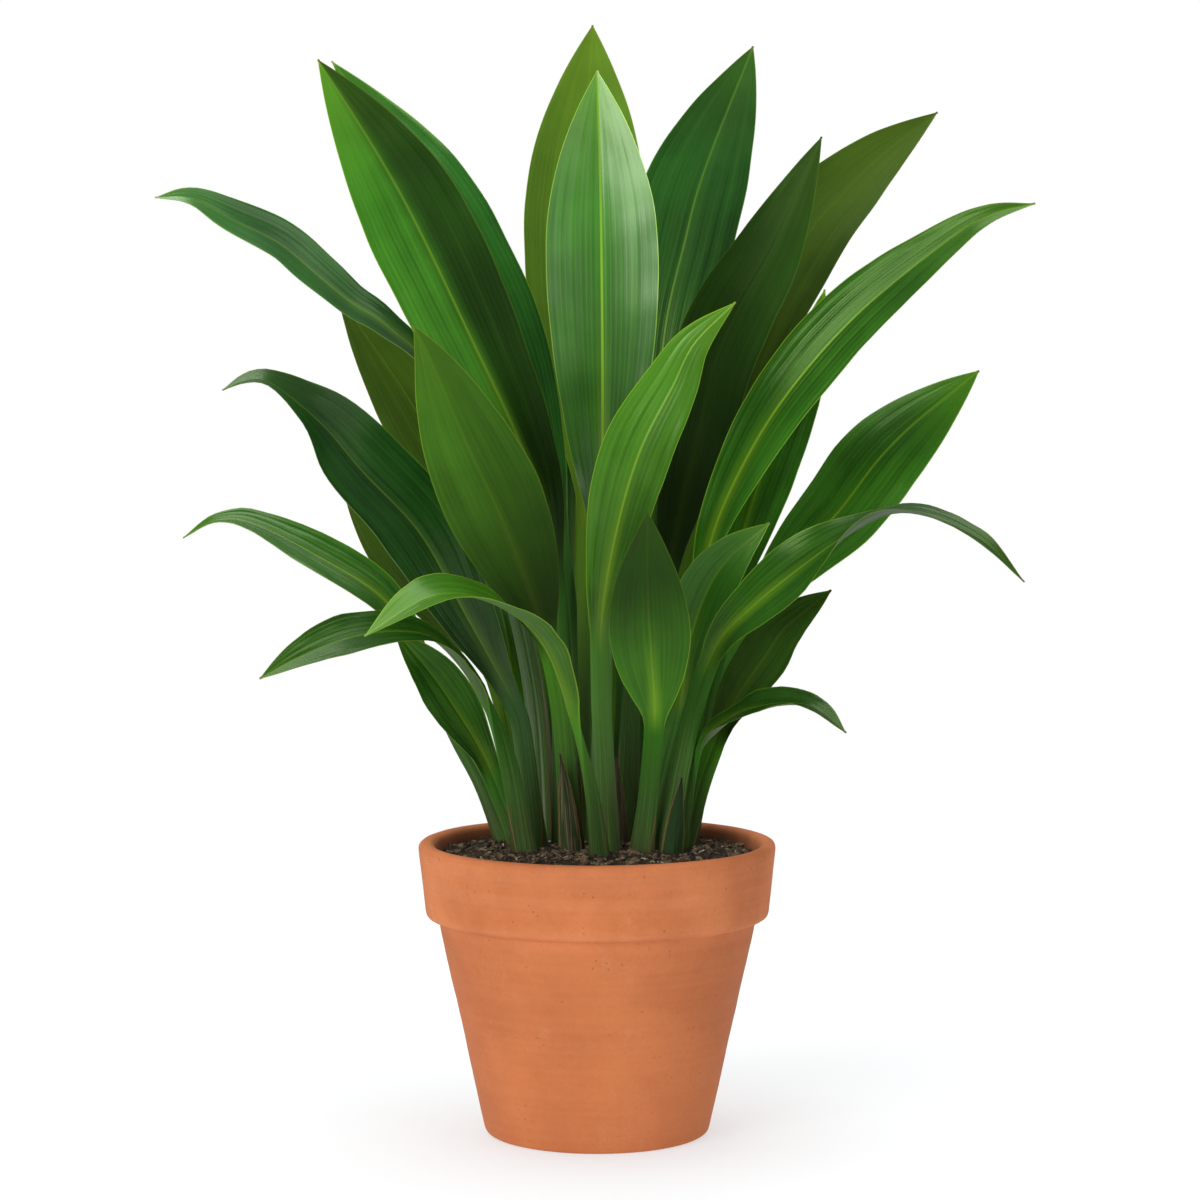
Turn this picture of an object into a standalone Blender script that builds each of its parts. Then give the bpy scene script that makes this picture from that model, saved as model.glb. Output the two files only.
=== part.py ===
"""Potted cast iron plant (Aspidistra): a clay pot, its soil and the leaves that stand in it.

Metres, +Z up. The pot's axis is Z, its foot stands on Z = 0, and the side most looked at faces -Y.
"""

import math

import bpy
from mathutils import Quaternion, Vector

CM = 0.01

# Clay pot
POT_HEIGHT = 0.172
RIM_RADIUS = 0.105
BAND_HEIGHT = 0.044
BAND_FOOT_RADIUS = 0.1005
BODY_TOP_RADIUS = 0.0935
BASE_RADIUS = 0.0655
WALL = 0.0095
FLOOR = 0.012
DRAIN_RADIUS = 0.010
EDGE_ROUND = 0.004
POT_STEPS = 56

# Soil
SOIL_EDGE_HEIGHT = 0.1635
SOIL_CROWN_HEIGHT = 0.168
GAP = 0.0003
SOCKET_GAP = 0.0008
SOCKET_REACH = 0.035
SOCKET_STATIONS = 3
SOIL_STEPS = 40
SOIL_RINGS = 5

# Leaves
FOOT_WIDTH = 0.0125
FOOT_THICKNESS = 0.0042
STALK_WIDTH = 0.0068
STALK_THICKNESS = 0.0034
BLADE_THICKNESS = 0.0008
TIP_WIDTH = 0.0014
STATION_SPACING = 0.023
SHEATH_SPACING = 0.009
ACROSS = 4
FEWEST_STATIONS = 6
FOOT_CHANNEL = 0.45
STALK_CHANNEL = 0.7
BLADE_FOLD = 0.24
FOLDS = {"leaf_left_tall": -0.10, "leaf_low_right_broad": -0.08}
CHANNEL_CURVE = 1.5
FLARE_FADE = 2.2
STALK_FADE = 2.5
CHANNEL_FADE = 6
SHEATH_WIDTH = 0.0135
SHEATH_THICKNESS = 0.0007
SHEATH_CHANNEL = 0.75
SHEATH_TAPER = 2.2
BLADE_BASE_POWER = 0.75
BLADE_TIP_POWER = 1.9
TIP_CROWDING = 1.3
ROUTE_STEPS = 12

TERRACOTTA = (0.59, 0.19, 0.075, 1.0)
POTTING_SOIL = (0.022, 0.015, 0.010, 1.0)
DRY_BROWN = (0.21, 0.13, 0.07, 1.0)

GREENS = {
    "deep": (0.010, 0.058, 0.014, 1.0),
    "mid": (0.025, 0.110, 0.018, 1.0),
    "bright": (0.060, 0.190, 0.022, 1.0),
    "yellow": (0.110, 0.250, 0.028, 1.0),
}

# Each leaf: its blade's width in centimetres, where along the leaf the blade starts and where along
# the blade it is broadest (0 to 1), the ways its upper face looks at the foot, the blade and the
# tip, its green, and the route of its midrib in centimetres from the foot in the soil to the tip.
FRONT = (0, -1, 0.2)
LEAVES = {
    "leaf_back_centre": (7.6, 0.42, 0.57, [FRONT, (0.3, -1, 0.4), (0.1, -1, 0.5)], "yellow", [
        (-0.4, 3.0, 15.4), (-0.6, 4.5, 28.5), (-0.8, 7.6, 38.5), (-1, 11.4, 48.9), (-0.7, 14.4, 58),
        (-0.3, 17, 66)]),
    "leaf_front_centre": (6.4, 0.42, 0.62, [FRONT, (0.1, -1, 0), (0, -1, 0)], "mid", [
        (0.2, 1.4, 15.4), (0.3, -0.5, 29), (0.3, -2.4, 39), (0.3, -3.6, 45.7), (0.2, -3.8, 54.4),
        (0, -2.6, 61.8)]),
    "leaf_back_right_tall": (6.8, 0.38, 0.62, [FRONT, (-0.3, -1, 0.3), (-0.3, -1, 0.4)], "deep", [
        (1.5, 4.3, 15.4), (2.3, 5.6, 28.5), (3.3, 6.9, 37), (4, 8.7, 46.5), (5.3, 10.2, 52.4),
        (6.5, 11.6, 56.7), (9.6, 14.5, 64.5)]),
    "leaf_left_tall": (6.3, 0.36, 0.62, [FRONT, (-0.2, -1, 0), (-0.2, -1, 0)], "mid", [
        (-1.9, 2.4, 15.4), (-2.2, 1.5, 26.5), (-2.8, 0.8, 35.5), (-4.5, 0.2, 40.5), (-7.5, -0.4, 47),
        (-10.4, -1, 53.1), (-12.6, -1.3, 57.1), (-16.0, -1.6, 62.5)]),
    "leaf_left_tall_behind": (5.4, 0.38, 0.55, [FRONT, (0.4, -1, 0.2), (0.4, -1, 0.2)], "deep", [
        (-1.3, 4.6, 15.4), (-1.6, 5.5, 28), (-2.5, 5.6, 35.7), (-3.7, 6.2, 41), (-5.5, 7.2, 46.3),
        (-7.7, 8.3, 51), (-10.2, 9.6, 55.6), (-13.2, 10.8, 59.7), (-16.2, 12, 63.4)]),
    "leaf_far_left": (3.1, 0.60, 0.60, [FRONT, FRONT, (0.3, -0.9, 0.6), (0.2, -0.8, 0.7)], "deep", [
        (-3.1, 4.0, 15.4), (-3.7, 4.2, 25), (-5.5, 3.8, 33.5), (-7.5, 3.2, 40.3), (-9.6, 2.4, 44.7),
        (-12.5, 1, 47.5), (-14.2, 0.2, 48.6), (-16, -0.8, 50.1), (-18.2, -2, 52), (-20.7, -3.4, 53.3),
        (-23, -4.6, 54.5), (-24.9, -5.5, 54.5)]),
    "leaf_far_left_behind": (5.4, 0.45, 0.50, [FRONT, (0.4, -1, 0.3), (0.4, -1, 0.3)], "yellow", [
        (-2.5, 5.6, 15.4), (-3.5, 6.8, 26), (-5.9, 8, 33.2), (-10.1, 9.6, 40.5), (-12.1, 10.5, 43.8),
        (-14.7, 11.4, 47.5), (-15.9, 11.8, 49.1)]),
    "leaf_left_arching": (5.4, 0.30, 0.56, [
        FRONT, FRONT, (0.2, -1, 0.4), (0.2, -0.8, 0.6), (0.2, -0.3, 1)], "deep", [
        (-3.5, 1.0, 15.4), (-4.3, 0.3, 22.8), (-5, -0.3, 25.5), (-7.8, -1.8, 31), (-10.2, -3.2, 35.5),
        (-13.3, -4.6, 39), (-15.6, -5.6, 41.8), (-18.3, -6.8, 44.1), (-19.6, -7.2, 44.3), (-21, -7.5, 43.7)]),
    "leaf_left_upright": (5.7, 0.41, 0.47, [FRONT, (0, -1, -0.1), (0.1, -1, 0)], "bright", [
        (-1.4, 0.2, 15.4), (-2.2, -1.2, 25.6), (-3.6, -2.8, 31.5), (-5.5, -4.6, 36.5), (-7.5, -6.4, 41),
        (-9.3, -8, 45.4), (-10.2, -8.8, 47.3)]),
    "leaf_low_left_long": (3.2, 0.45, 0.40, [FRONT, (0.3, -0.7, 0.6), (0, -0.45, 0.9)], "mid", [
        (-4.9, 4.0, 15.4), (-6.6, 4.1, 19.7), (-8.1, 4.2, 22.5), (-9.6, 4.4, 25.6), (-11.3, 4.6, 29),
        (-13, 4.9, 31.3), (-16, 5.3, 33.2), (-20.5, 5.8, 35.5), (-22.9, 6.2, 35.7), (-24.9, 6.6, 34.6)]),
    "leaf_low_left_drooping": (3.1, 0.40, 0.60, [FRONT, (0.4, -0.3, 0.9), (-0.2, -0.8, 0.6)], "mid", [
        (-4.1, -0.4, 15.4), (-5.2, -2, 22.2), (-6.7, -4, 26.5), (-8.9, -6.6, 29.5),
        (-11, -8.9, 30.3), (-13.7, -11, 30.1), (-16.3, -12.8, 29.2), (-18.4, -14, 28.1)]),
    "leaf_front_arching": (3.9, 0.36, 0.55, [(0.6, -0.8, 0.2), (0.5, 0.1, 0.9), (-0.2, -0.6, 0.8)],
                           "bright", [
        (0.3, -2.8, 15.4), (-0.3, -4, 20.7), (-1.3, -6.2, 25.3), (-2.7, -9, 29.3), (-4.5, -11.8, 31.5),
        (-6.9, -14.6, 32.75), (-9.2, -17, 32.75), (-12.3, -19.5, 30.9)]),
    "leaf_front_curved": (4.1, 0.42, 0.50, [FRONT, (-0.3, -1, 0), (-0.3, -1, 0.2)], "bright", [
        (0.65, -1.0, 15.4), (0.4, -2.2, 22.2), (0.2, -3.4, 26.4), (0.3, -4.9, 31), (1.1, -6.3, 35.8),
        (2.4, -7.3, 40.3), (4.25, -8, 44), (5.4, -8.4, 46.3), (7.7, -8.6, 48.6)]),
    "leaf_front_small": (4.6, 0.42, 0.45, [FRONT, (0, -1, -0.1), (0, -1, -0.2)], "mid", [
        (2.45, -1.1, 15.4), (3.05, -2.1, 21), (3.3, -4.1, 25.2), (3.1, -5.9, 28.3), (2.9, -7.4, 31.3),
        (2.8, -9.2, 34.2), (2.8, -10.6, 37)]),
    "leaf_right_upright": (5.2, 0.38, 0.55, [FRONT, (-0.4, -1, 0.1), (-0.4, -1, 0.2)], "mid", [
        (3.0, 3.4, 15.4), (3.5, 3.6, 25), (4.4, 4, 33.5), (6.1, 4.6, 41), (7, 4.6, 45),
        (8.5, 4.4, 48.5), (10.2, 4.2, 51.5), (11.9, 4, 55.3), (13.2, 3.8, 58.4)]),
    "leaf_right_behind": (5.8, 0.42, 0.58, [FRONT, (-0.4, -1, 0.3), (-0.4, -1, 0.3)], "yellow", [
        (2.9, 5.5, 15.4), (4.3, 6.8, 27.8), (6.2, 8.6, 35.6), (9, 10.5, 45.2), (12.7, 12, 52.5),
        (15.4, 12.6, 55.7), (17.6, 13, 57.8), (20.9, 13.4, 60.4)]),
    "leaf_far_right_long": (4.0, 0.36, 0.52, [FRONT, (-0.4, -1, 0.2), (-0.4, -0.9, 0.5)], "mid", [
        (3.1, 2.3, 15.4), (4.9, 1.6, 25.3), (6, 0.8, 31.3), (6.8, 0.2, 35.4), (8.7, -1.2, 39.8),
        (11.2, -2.4, 43.8), (15, -3.2, 48.1), (20, -4, 52.2), (22.3, -4.4, 53.6), (24.8, -4.6, 54.2)]),
    "leaf_right_inner": (4.5, 0.42, 0.50, [FRONT, (-0.4, -1, 0.2), (-0.4, -1, 0.2)], "mid", [
        (4.8, 3.6, 15.4), (6.7, 3, 25.8), (7.8, 2.6, 31.7), (8.5, 2.2, 34.8), (9.7, 1.6, 38.7),
        (11.3, 1, 43), (12.6, 0.6, 46.5), (13.2, 0.2, 49.4)]),
    "leaf_low_right_broad": (5.5, 0.42, 0.55, [FRONT, (-0.2, -1, 0.4), (-0.2, -1, 0.5)], "mid", [
        (4.3, 4.8, 15.4), (6.9, 5.4, 24.9), (10.1, 6.2, 30.9), (12.2, 6.9, 33.7), (14.6, 7.6, 36.2),
        (17.1, 8.3, 39.4), (19.5, 9, 41.7), (23.2, 9.8, 44.6)]),
    "leaf_low_right_arching": (3.5, 0.36, 0.34, [
        FRONT, FRONT, (-0.1, -1, 0.5), (0.2, -0.25, 1), (0.6, -0.6, 0.6)], "mid", [
        (3.8, -0.6, 15.4), (4.9, -1.2, 22), (5.9, -2.2, 26.3), (7.1, -3, 29.3), (9.1, -4.2, 31.5),
        (11.1, -5.6, 33.3), (13.3, -7, 35.1), (15, -8, 36.3), (16.6, -9, 37), (18.2, -10, 36.9),
        (19.8, -10.9, 36.3), (21.5, -11.8, 35.3), (23.4, -12.8, 33.3)]),
    "leaf_right_small": (3.4, 0.45, 0.50, [FRONT, FRONT, FRONT], "mid", [
        (2.6, 1.2, 15.4), (3.9, 0.7, 21.3), (4.9, 0.2, 25.5), (5.4, -0.4, 29), (6.5, -1.2, 32.2),
        (7.9, -2, 34.2), (9.9, -2.8, 36)]),
    "leaf_low_right_small": (3.1, 0.42, 0.50, [FRONT, (-0.2, -1, 0.3), (-0.2, -1, 0.3)], "bright", [
        (5.0, 2.1, 15.4), (5.9, 1.4, 19.7), (6.9, 0.6, 22.8), (8.0, -0.4, 25.5), (9.8, -1.6, 28.3),
        (10.9, -2.4, 30), (13.4, -3.8, 32.2)]),
    "leaf_low_right_drooping": (2.4, 0.42, 0.50, [FRONT, (-0.3, -0.6, 0.8), (0.2, -0.4, 0.9)], "mid", [
        (4.6, 0.6, 15.4), (5.1, -0.2, 20.2), (5.7, -1, 22.7), (6.8, -2.4, 24.1), (8.4, -4.6, 25.4),
        (10.6, -7.2, 26.1), (12.2, -9.2, 26), (13.8, -11, 24.8)]),
    "leaf_low_left_small": (3.0, 0.38, 0.50, [FRONT, (0.2, -1, 0.3), (0.2, -1, 0.3)], "mid", [
        (-4.2, 2.4, 15.4), (-5.9, 2.2, 19.9), (-7, 1.8, 22.6), (-8.9, 0.8, 25.8), (-10.1, 0.2, 27.5),
        (-11.8, -0.6, 29.6)]),
    "leaf_low_left_behind": (4.4, 0.45, 0.50, [FRONT, (0.5, -1, 0.3), (0.5, -1, 0.3)], "yellow", [
        (-4.4, 5.5, 15.4), (-5.8, 6.8, 24.8), (-8.6, 8.4, 29.5), (-11.7, 9.6, 32.8), (-15.4, 10.8, 36.7)]),
    "leaf_rear_left": (5.0, 0.40, 0.50, [FRONT, (0.2, -1, 0.4), (0, -1, 0.5)], "deep", [
        (-1.2, 6.4, 15.4), (-1.4, 9.4, 30.5), (-1.2, 12.2, 39.7), (-1.6, 14.6, 47), (-2.2, 16, 51)]),
    "leaf_rear_right": (4.8, 0.40, 0.50, [FRONT, (-0.2, -1, 0.3), (0, -1, 0.5)], "deep", [
        (1.3, 6.6, 15.4), (1.9, 9.5, 28), (2.4, 12.4, 36.5), (2.8, 15, 43), (3, 17, 47.5)]),
    "leaf_rear_tall_left": (5.2, 0.40, 0.50, [FRONT, (0.8, -1, 0.3), (0.8, -1, 0.4)], "mid", [
        (-2.5, 7.6, 15.4), (-3.1, 10, 27), (-4.4, 13, 37), (-6.2, 15.4, 44), (-8.8, 17.6, 51)]),
    "leaf_rear_tall_right": (5.0, 0.40, 0.50, [FRONT, (-0.8, -1, 0.3), (-0.8, -1, 0.4)], "mid", [
        (2.5, 7.4, 15.4), (2.7, 9.0, 22), (3.6, 11, 29), (5.6, 13.6, 37), (7.2, 16, 44), (9, 18, 49.5)]),
    "leaf_rear_low_left": (4.2, 0.38, 0.50, [FRONT, (0.5, -0.6, 0.7), (0.1, 0.2, 1)], "mid", [
        (-4.3, 7.4, 15.4), (-4.9, 10, 23), (-5.8, 13.4, 29), (-7.2, 16.6, 32), (-8.8, 19.4, 32)]),
    "leaf_rear_low_centre": (4.0, 0.38, 0.50, [FRONT, (0, -0.6, 0.8), (0, 0.3, 1)], "bright", [
        (0.7, 8.2, 15.4), (0.8, 10.6, 22.5), (0.5, 14, 28.5), (-0.2, 17, 30.8), (-1, 19.6, 29.6)]),
    "leaf_rear_low_right": (4.2, 0.38, 0.50, [FRONT, (-0.5, -0.6, 0.7), (-0.1, 0.2, 1)], "mid", [
        (4.4, 6.8, 15.4), (5.6, 10, 23), (7, 13.2, 28), (8.8, 16.4, 30.4), (10.6, 19.2, 29.6)]),
}

# Each dry scale leaf round the foot of a stalk: the way its hollow side looks, and its route.
SHEATHS = {
    "sheath_left": ((0.1, 1, 0.1), [
        (-1.5, -0.65, 15.4), (-1.7, -0.95, 18), (-1.9, -1.3, 20.5), (-2.15, -1.6, 22.5)]),
    "sheath_middle": ((-0.3, 1, 0.1), [
        (1.4, 2.4, 15.4), (1.35, 2.6, 18), (1.25, 2.9, 20), (1.1, 3.3, 21.8)]),
    "sheath_right": ((-0.1, 1, 0.1), [
        (4.25, -1.6, 15.4), (4.5, -1.75, 17.5), (4.7, -1.95, 19.5), (4.9, -2.2, 21.2)]),
}


def clear_scene():
    for old in list(bpy.data.objects):
        bpy.data.objects.remove(old, do_unlink=True)


def new_collection(name, helper=False):
    collection = bpy.data.collections.new(name)
    bpy.context.scene.collection.children.link(collection)
    collection.hide_render = helper
    return collection


def material(name, colour, roughness):
    made = bpy.data.materials.new(name)
    made.use_nodes = True
    shader = made.node_tree.nodes["Principled BSDF"]
    shader.inputs["Base Color"].default_value = colour
    shader.inputs["Roughness"].default_value = roughness
    made.diffuse_color = colour
    return made


def link(obj, collection):
    for other in list(obj.users_collection):
        other.objects.unlink(obj)
    collection.objects.link(obj)


def hide_helper(obj):
    obj.hide_render = True
    obj.display_type = "WIRE"


def turned(name, profile, steps, collection, closed):
    """A profile of (radius, height) points turned about Z."""
    mesh = bpy.data.meshes.new(name)
    edges = [(i, i + 1) for i in range(len(profile) - 1)]
    if closed:
        edges.append((len(profile) - 1, 0))
    mesh.from_pydata([(radius, 0, height) for radius, height in profile], edges, [])
    obj = bpy.data.objects.new(name, mesh)
    collection.objects.link(obj)
    screw = obj.modifiers.new("Turn", "SCREW")
    screw.steps = steps
    screw.render_steps = steps
    screw.use_merge_vertices = True
    screw.merge_threshold = 0.00005
    return obj


def rounded(corner, before, after, radius, points=2):
    """The corner of a profile replaced by a round, as a quadratic through its two neighbours."""
    corner, before, after = Vector(corner), Vector(before), Vector(after)
    start = corner + (before - corner).normalized() * radius
    end = corner + (after - corner).normalized() * radius
    made = []
    for i in range(points + 1):
        t = i / points
        made.append(tuple((1 - t) ** 2 * start + 2 * t * (1 - t) * corner + t ** 2 * end))
    return made


def wall_radius(height):
    """The outer radius of the pot's tapering body, carried on up to the rim."""
    slope = (BODY_TOP_RADIUS - BASE_RADIUS) / (POT_HEIGHT - BAND_HEIGHT)
    return BASE_RADIUS + slope * height


def build_pot(collection):
    band_foot = POT_HEIGHT - BAND_HEIGHT
    lip_radius = RIM_RADIUS - WALL
    corners = [
        ((RIM_RADIUS, POT_HEIGHT), EDGE_ROUND),
        ((BAND_FOOT_RADIUS, band_foot), EDGE_ROUND),
        ((BODY_TOP_RADIUS, band_foot), EDGE_ROUND / 2),
        ((BASE_RADIUS, 0.0), EDGE_ROUND),
        ((DRAIN_RADIUS, 0.0), EDGE_ROUND / 4),
        ((DRAIN_RADIUS, FLOOR), EDGE_ROUND / 4),
        ((wall_radius(FLOOR) - WALL, FLOOR), EDGE_ROUND),
        ((lip_radius, POT_HEIGHT), EDGE_ROUND),
    ]
    profile = []
    for i, (corner, radius) in enumerate(corners):
        before = corners[i - 1][0]
        after = corners[(i + 1) % len(corners)][0]
        profile += rounded(corner, before, after, radius)
    pot = turned("pot", profile, POT_STEPS, collection, closed=True)
    pot.data.materials.append(material("terracotta", TERRACOTTA, 0.8))
    return pot


def inner_radius(height):
    """The radius of the pot's inside at this height."""
    low = wall_radius(FLOOR) - WALL
    return low + (RIM_RADIUS - WALL - low) * (height - FLOOR) / (POT_HEIGHT - FLOOR)


def build_soil(collection, sockets):
    foot = FLOOR + GAP
    bottom_radius = inner_radius(foot) - EDGE_ROUND
    side_foot = foot + EDGE_ROUND
    profile = [(0.0, SOIL_CROWN_HEIGHT)]
    for i in range(1, SOIL_RINGS + 1):
        t = i / SOIL_RINGS
        radius = t * (inner_radius(SOIL_EDGE_HEIGHT) - 2 * GAP)
        rise = (SOIL_CROWN_HEIGHT - SOIL_EDGE_HEIGHT) * math.cos(t * math.pi / 2)
        profile.append((radius, SOIL_EDGE_HEIGHT + rise))
    profile.append((inner_radius(side_foot) - 2 * GAP, side_foot))
    profile.append((bottom_radius, foot))
    profile.append((0.0, foot))
    soil = turned("soil", profile, SOIL_STEPS, collection, closed=False)
    cut = soil.modifiers.new("Leaf sockets", "BOOLEAN")
    cut.operation = "DIFFERENCE"
    cut.operand_type = "COLLECTION"
    cut.collection = sockets
    cut.solver = "EXACT"
    soil.data.materials.append(material("potting_soil", POTTING_SOIL, 0.95))
    return soil


def smooth_route(points, spacing):
    """A Catmull-Rom curve through the points, read at even distances."""
    ends = [2 * points[0] - points[1]] + points + [2 * points[-1] - points[-2]]
    dense = []
    for a, b, c, d in zip(ends, ends[1:], ends[2:], ends[3:]):
        for k in range(ROUTE_STEPS):
            t = k / ROUTE_STEPS
            dense.append(0.5 * (2 * b + (c - a) * t + (2 * a - 5 * b + 4 * c - d) * t ** 2
                                + (3 * b - 3 * c + d - a) * t ** 3))
    dense.append(points[-1])
    run = [0.0]
    for a, b in zip(dense, dense[1:]):
        run.append(run[-1] + (b - a).length)
    count = max(FEWEST_STATIONS, round(run[-1] / spacing))
    even = []
    at = 0
    for k in range(count + 1):
        wanted = run[-1] * k / count
        while at < len(run) - 2 and run[at + 1] < wanted:
            at += 1
        share = (wanted - run[at]) / (run[at + 1] - run[at])
        even.append(dense[at].lerp(dense[at + 1], min(max(share, 0.0), 1.0)))
    return even


def directions(points):
    steps = [(b - a).normalized() for a, b in zip(points, points[1:])]
    turns = [(a + b).normalized() for a, b in zip(steps, steps[1:])]
    return [steps[0]] + turns + [steps[-1]]


def blend(faces, s):
    """The way that a leaf's upper face looks, from its foot (s = 0) to its tip (s = 1)."""
    at = s * (len(faces) - 1)
    low = min(int(at), len(faces) - 2)
    t = at - low
    return Vector(faces[low]).lerp(Vector(faces[low + 1]), t * t * (3 - 2 * t))


def guide_curve(name, points, faces, collection):
    """A poly curve along the midrib, tilted so that a blank laid on it turns its +Z side to faces."""
    data = bpy.data.curves.new(name, "CURVE")
    data.dimensions = "3D"
    data.twist_mode = "MINIMUM"
    spline = data.splines.new("POLY")
    spline.points.add(len(points) - 1)
    ways = directions(points)
    frame = ways[0].to_track_quat("-Z", "Y")
    tilt = 0.0
    for i, (point, way) in enumerate(zip(points, ways)):
        if i:
            bend = ways[i - 1].cross(way)
            if bend.length > 1e-9:
                frame = Quaternion(bend, ways[i - 1].angle(way)) @ frame
        up = frame @ Vector((0, 1, 0))
        wanted = blend(faces, i / (len(points) - 1))
        wanted = (wanted - wanted.dot(way) * way).normalized()
        angle = math.atan2(up.cross(wanted).dot(way), up.dot(wanted))
        tilt = angle + 2 * math.pi * round((tilt - angle) / (2 * math.pi))
        spline.points[i].co = (*point, 1.0)
        spline.points[i].tilt = tilt
    guide = bpy.data.objects.new(name, data)
    collection.objects.link(guide)
    hide_helper(guide)
    return guide


def leaf_section(s, width, blade_from, broadest, fold):
    """Half width, channel depth and thickness of a leaf, s of the way from its foot to its tip."""
    if s <= blade_from:
        t = s / blade_from
        flare = max(0.0, 1 - FLARE_FADE * t) ** 1.5
        half = (STALK_WIDTH + (FOOT_WIDTH - STALK_WIDTH) * flare) / 2
        thickness = STALK_THICKNESS + (FOOT_THICKNESS - STALK_THICKNESS) * flare
        channel = STALK_CHANNEL + (FOOT_CHANNEL - STALK_CHANNEL) * flare
        return half, channel, thickness
    t = (s - blade_from) / (1 - blade_from)
    if t < broadest:
        shape = math.sin(math.pi / 2 * t / broadest) ** BLADE_BASE_POWER
    else:
        shape = 1 - ((t - broadest) / (1 - broadest)) ** BLADE_TIP_POWER
    stalk = STALK_WIDTH * max(0.0, 1 - STALK_FADE * t)
    half = max(math.hypot(shape * width, stalk), TIP_WIDTH) / 2
    fade = max(0.0, 1 - STALK_FADE * t) ** 2
    channel = fold + (STALK_CHANNEL - fold) * max(0.0, 1 - CHANNEL_FADE * t)
    thickness = BLADE_THICKNESS + (STALK_THICKNESS - BLADE_THICKNESS) * fade
    return half, channel, thickness


def sheath_section(s):
    """Half width, channel depth and thickness of a dry sheath, s of the way up from its foot."""
    half = max(SHEATH_WIDTH * (1 - s ** SHEATH_TAPER), TIP_WIDTH) / 2
    return half, SHEATH_CHANNEL, SHEATH_THICKNESS


def blank_along(name, section, thickest, length, first, last, count, grow, collection):
    """A leaf laid flat along +X with its upper face up, ready to be bent along its guide."""
    bpy.ops.mesh.primitive_grid_add(x_subdivisions=count, y_subdivisions=ACROSS, size=2)
    blank = bpy.context.object
    blank.name = name
    blank.data.name = name
    link(blank, collection)
    group = blank.vertex_groups.new(name="Thickness")
    thickest += 2 * grow
    for vertex in blank.data.vertices:
        along = 1 - (0.5 - vertex.co.x / 2) ** TIP_CROWDING
        place = first + (last - first) * along
        across = vertex.co.y
        half, channel, thickness = section(max(place, 0.0) / length)
        edge = abs(across)
        if half > FOOT_WIDTH / 2:
            thickness = BLADE_THICKNESS + (thickness - BLADE_THICKNESS) * (1 - edge)
        vertex.co = (place, across * (half + grow), half * channel * edge ** CHANNEL_CURVE + grow)
        group.add([vertex.index], (thickness + 2 * grow) / thickest, "REPLACE")
    solid = blank.modifiers.new("Thickness", "SOLIDIFY")
    solid.thickness = thickest
    solid.offset = -1.0
    solid.vertex_group = group.name
    solid.thickness_vertex_group = 0.0
    return blank


def bend_along(blank, guide):
    bend = blank.modifiers.new("Midrib", "CURVE")
    bend.object = guide
    bend.deform_axis = "POS_X"


def grow_along(name, route, spacing, faces, section, thickest, collection, guides, sockets):
    """One leaf or sheath along its route, and the cutter of its socket in the soil."""
    points = smooth_route([Vector(point) * CM for point in route], spacing)
    length = sum((b - a).length for a, b in zip(points, points[1:]))
    guide = guide_curve(name + "_guide", points, faces, guides)
    count = len(points) - 1
    grown = blank_along(name, section, thickest, length, 0.0, length, count, 0.0, collection)
    bend_along(grown, guide)
    for face in grown.data.polygons:
        face.use_smooth = True
    socket = blank_along(name + "_socket", section, thickest, length, -2 * GAP, SOCKET_REACH,
                         SOCKET_STATIONS, SOCKET_GAP, sockets)
    bend_along(socket, guide)
    hide_helper(socket)
    return grown


def build_leaf(name, spec, collection, guides, sockets):
    width, blade_from, broadest, faces, green, route = spec
    fold = FOLDS.get(name, BLADE_FOLD)

    def section(s):
        return leaf_section(s, width * CM, blade_from, broadest, fold)

    leaf = grow_along(name, route, STATION_SPACING, faces, section, FOOT_THICKNESS,
                      collection, guides, sockets)
    leaf.data.materials.append(material(name + "_green", GREENS[green], 0.35))


def build_sheath(name, face, route, collection, guides, sockets):
    sheath = grow_along(name, route, SHEATH_SPACING, [face, face], sheath_section,
                        SHEATH_THICKNESS, collection, guides, sockets)
    sheath.data.materials.append(material(name + "_brown", DRY_BROWN, 0.7))


def build():
    clear_scene()
    plant = new_collection("potted_cast_iron_plant")
    guides = new_collection("guides", helper=True)
    sockets = new_collection("sockets", helper=True)
    build_pot(plant)
    for name, spec in LEAVES.items():
        build_leaf(name, spec, plant, guides, sockets)
    for name, (face, route) in SHEATHS.items():
        build_sheath(name, face, route, plant, guides, sockets)
    build_soil(plant, sockets)


build()
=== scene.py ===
"""Potted cast iron plant (Aspidistra): the looks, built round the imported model.

Metres, +Z up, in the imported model's frame. The side most looked at faces -Y.
"""

import math
import random

import bpy
from mathutils import Euler, Matrix, Quaternion, Vector, noise


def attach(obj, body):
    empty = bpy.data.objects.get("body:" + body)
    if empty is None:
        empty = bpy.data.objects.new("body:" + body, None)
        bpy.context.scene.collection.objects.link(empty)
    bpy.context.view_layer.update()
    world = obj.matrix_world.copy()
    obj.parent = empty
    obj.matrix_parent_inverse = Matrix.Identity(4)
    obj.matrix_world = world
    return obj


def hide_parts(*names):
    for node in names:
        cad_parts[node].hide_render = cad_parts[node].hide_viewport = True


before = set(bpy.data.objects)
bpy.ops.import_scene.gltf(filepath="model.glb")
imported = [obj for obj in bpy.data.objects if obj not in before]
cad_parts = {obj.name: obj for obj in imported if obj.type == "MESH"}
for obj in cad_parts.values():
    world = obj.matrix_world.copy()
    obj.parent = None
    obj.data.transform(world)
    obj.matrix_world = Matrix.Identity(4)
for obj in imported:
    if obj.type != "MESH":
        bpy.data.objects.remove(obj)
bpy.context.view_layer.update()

# Without a seed of its own, noise_vector gives other chips each time
noise.seed_set(7)

CM = 0.01
MM = 0.001

# Camera
CAMERA_PLACE = (0.0016, -2.10, 0.471)
CAMERA_PITCH = 4.29
CAMERA_LENS = 108.3
CAMERA_SENSOR = 36.0

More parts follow.
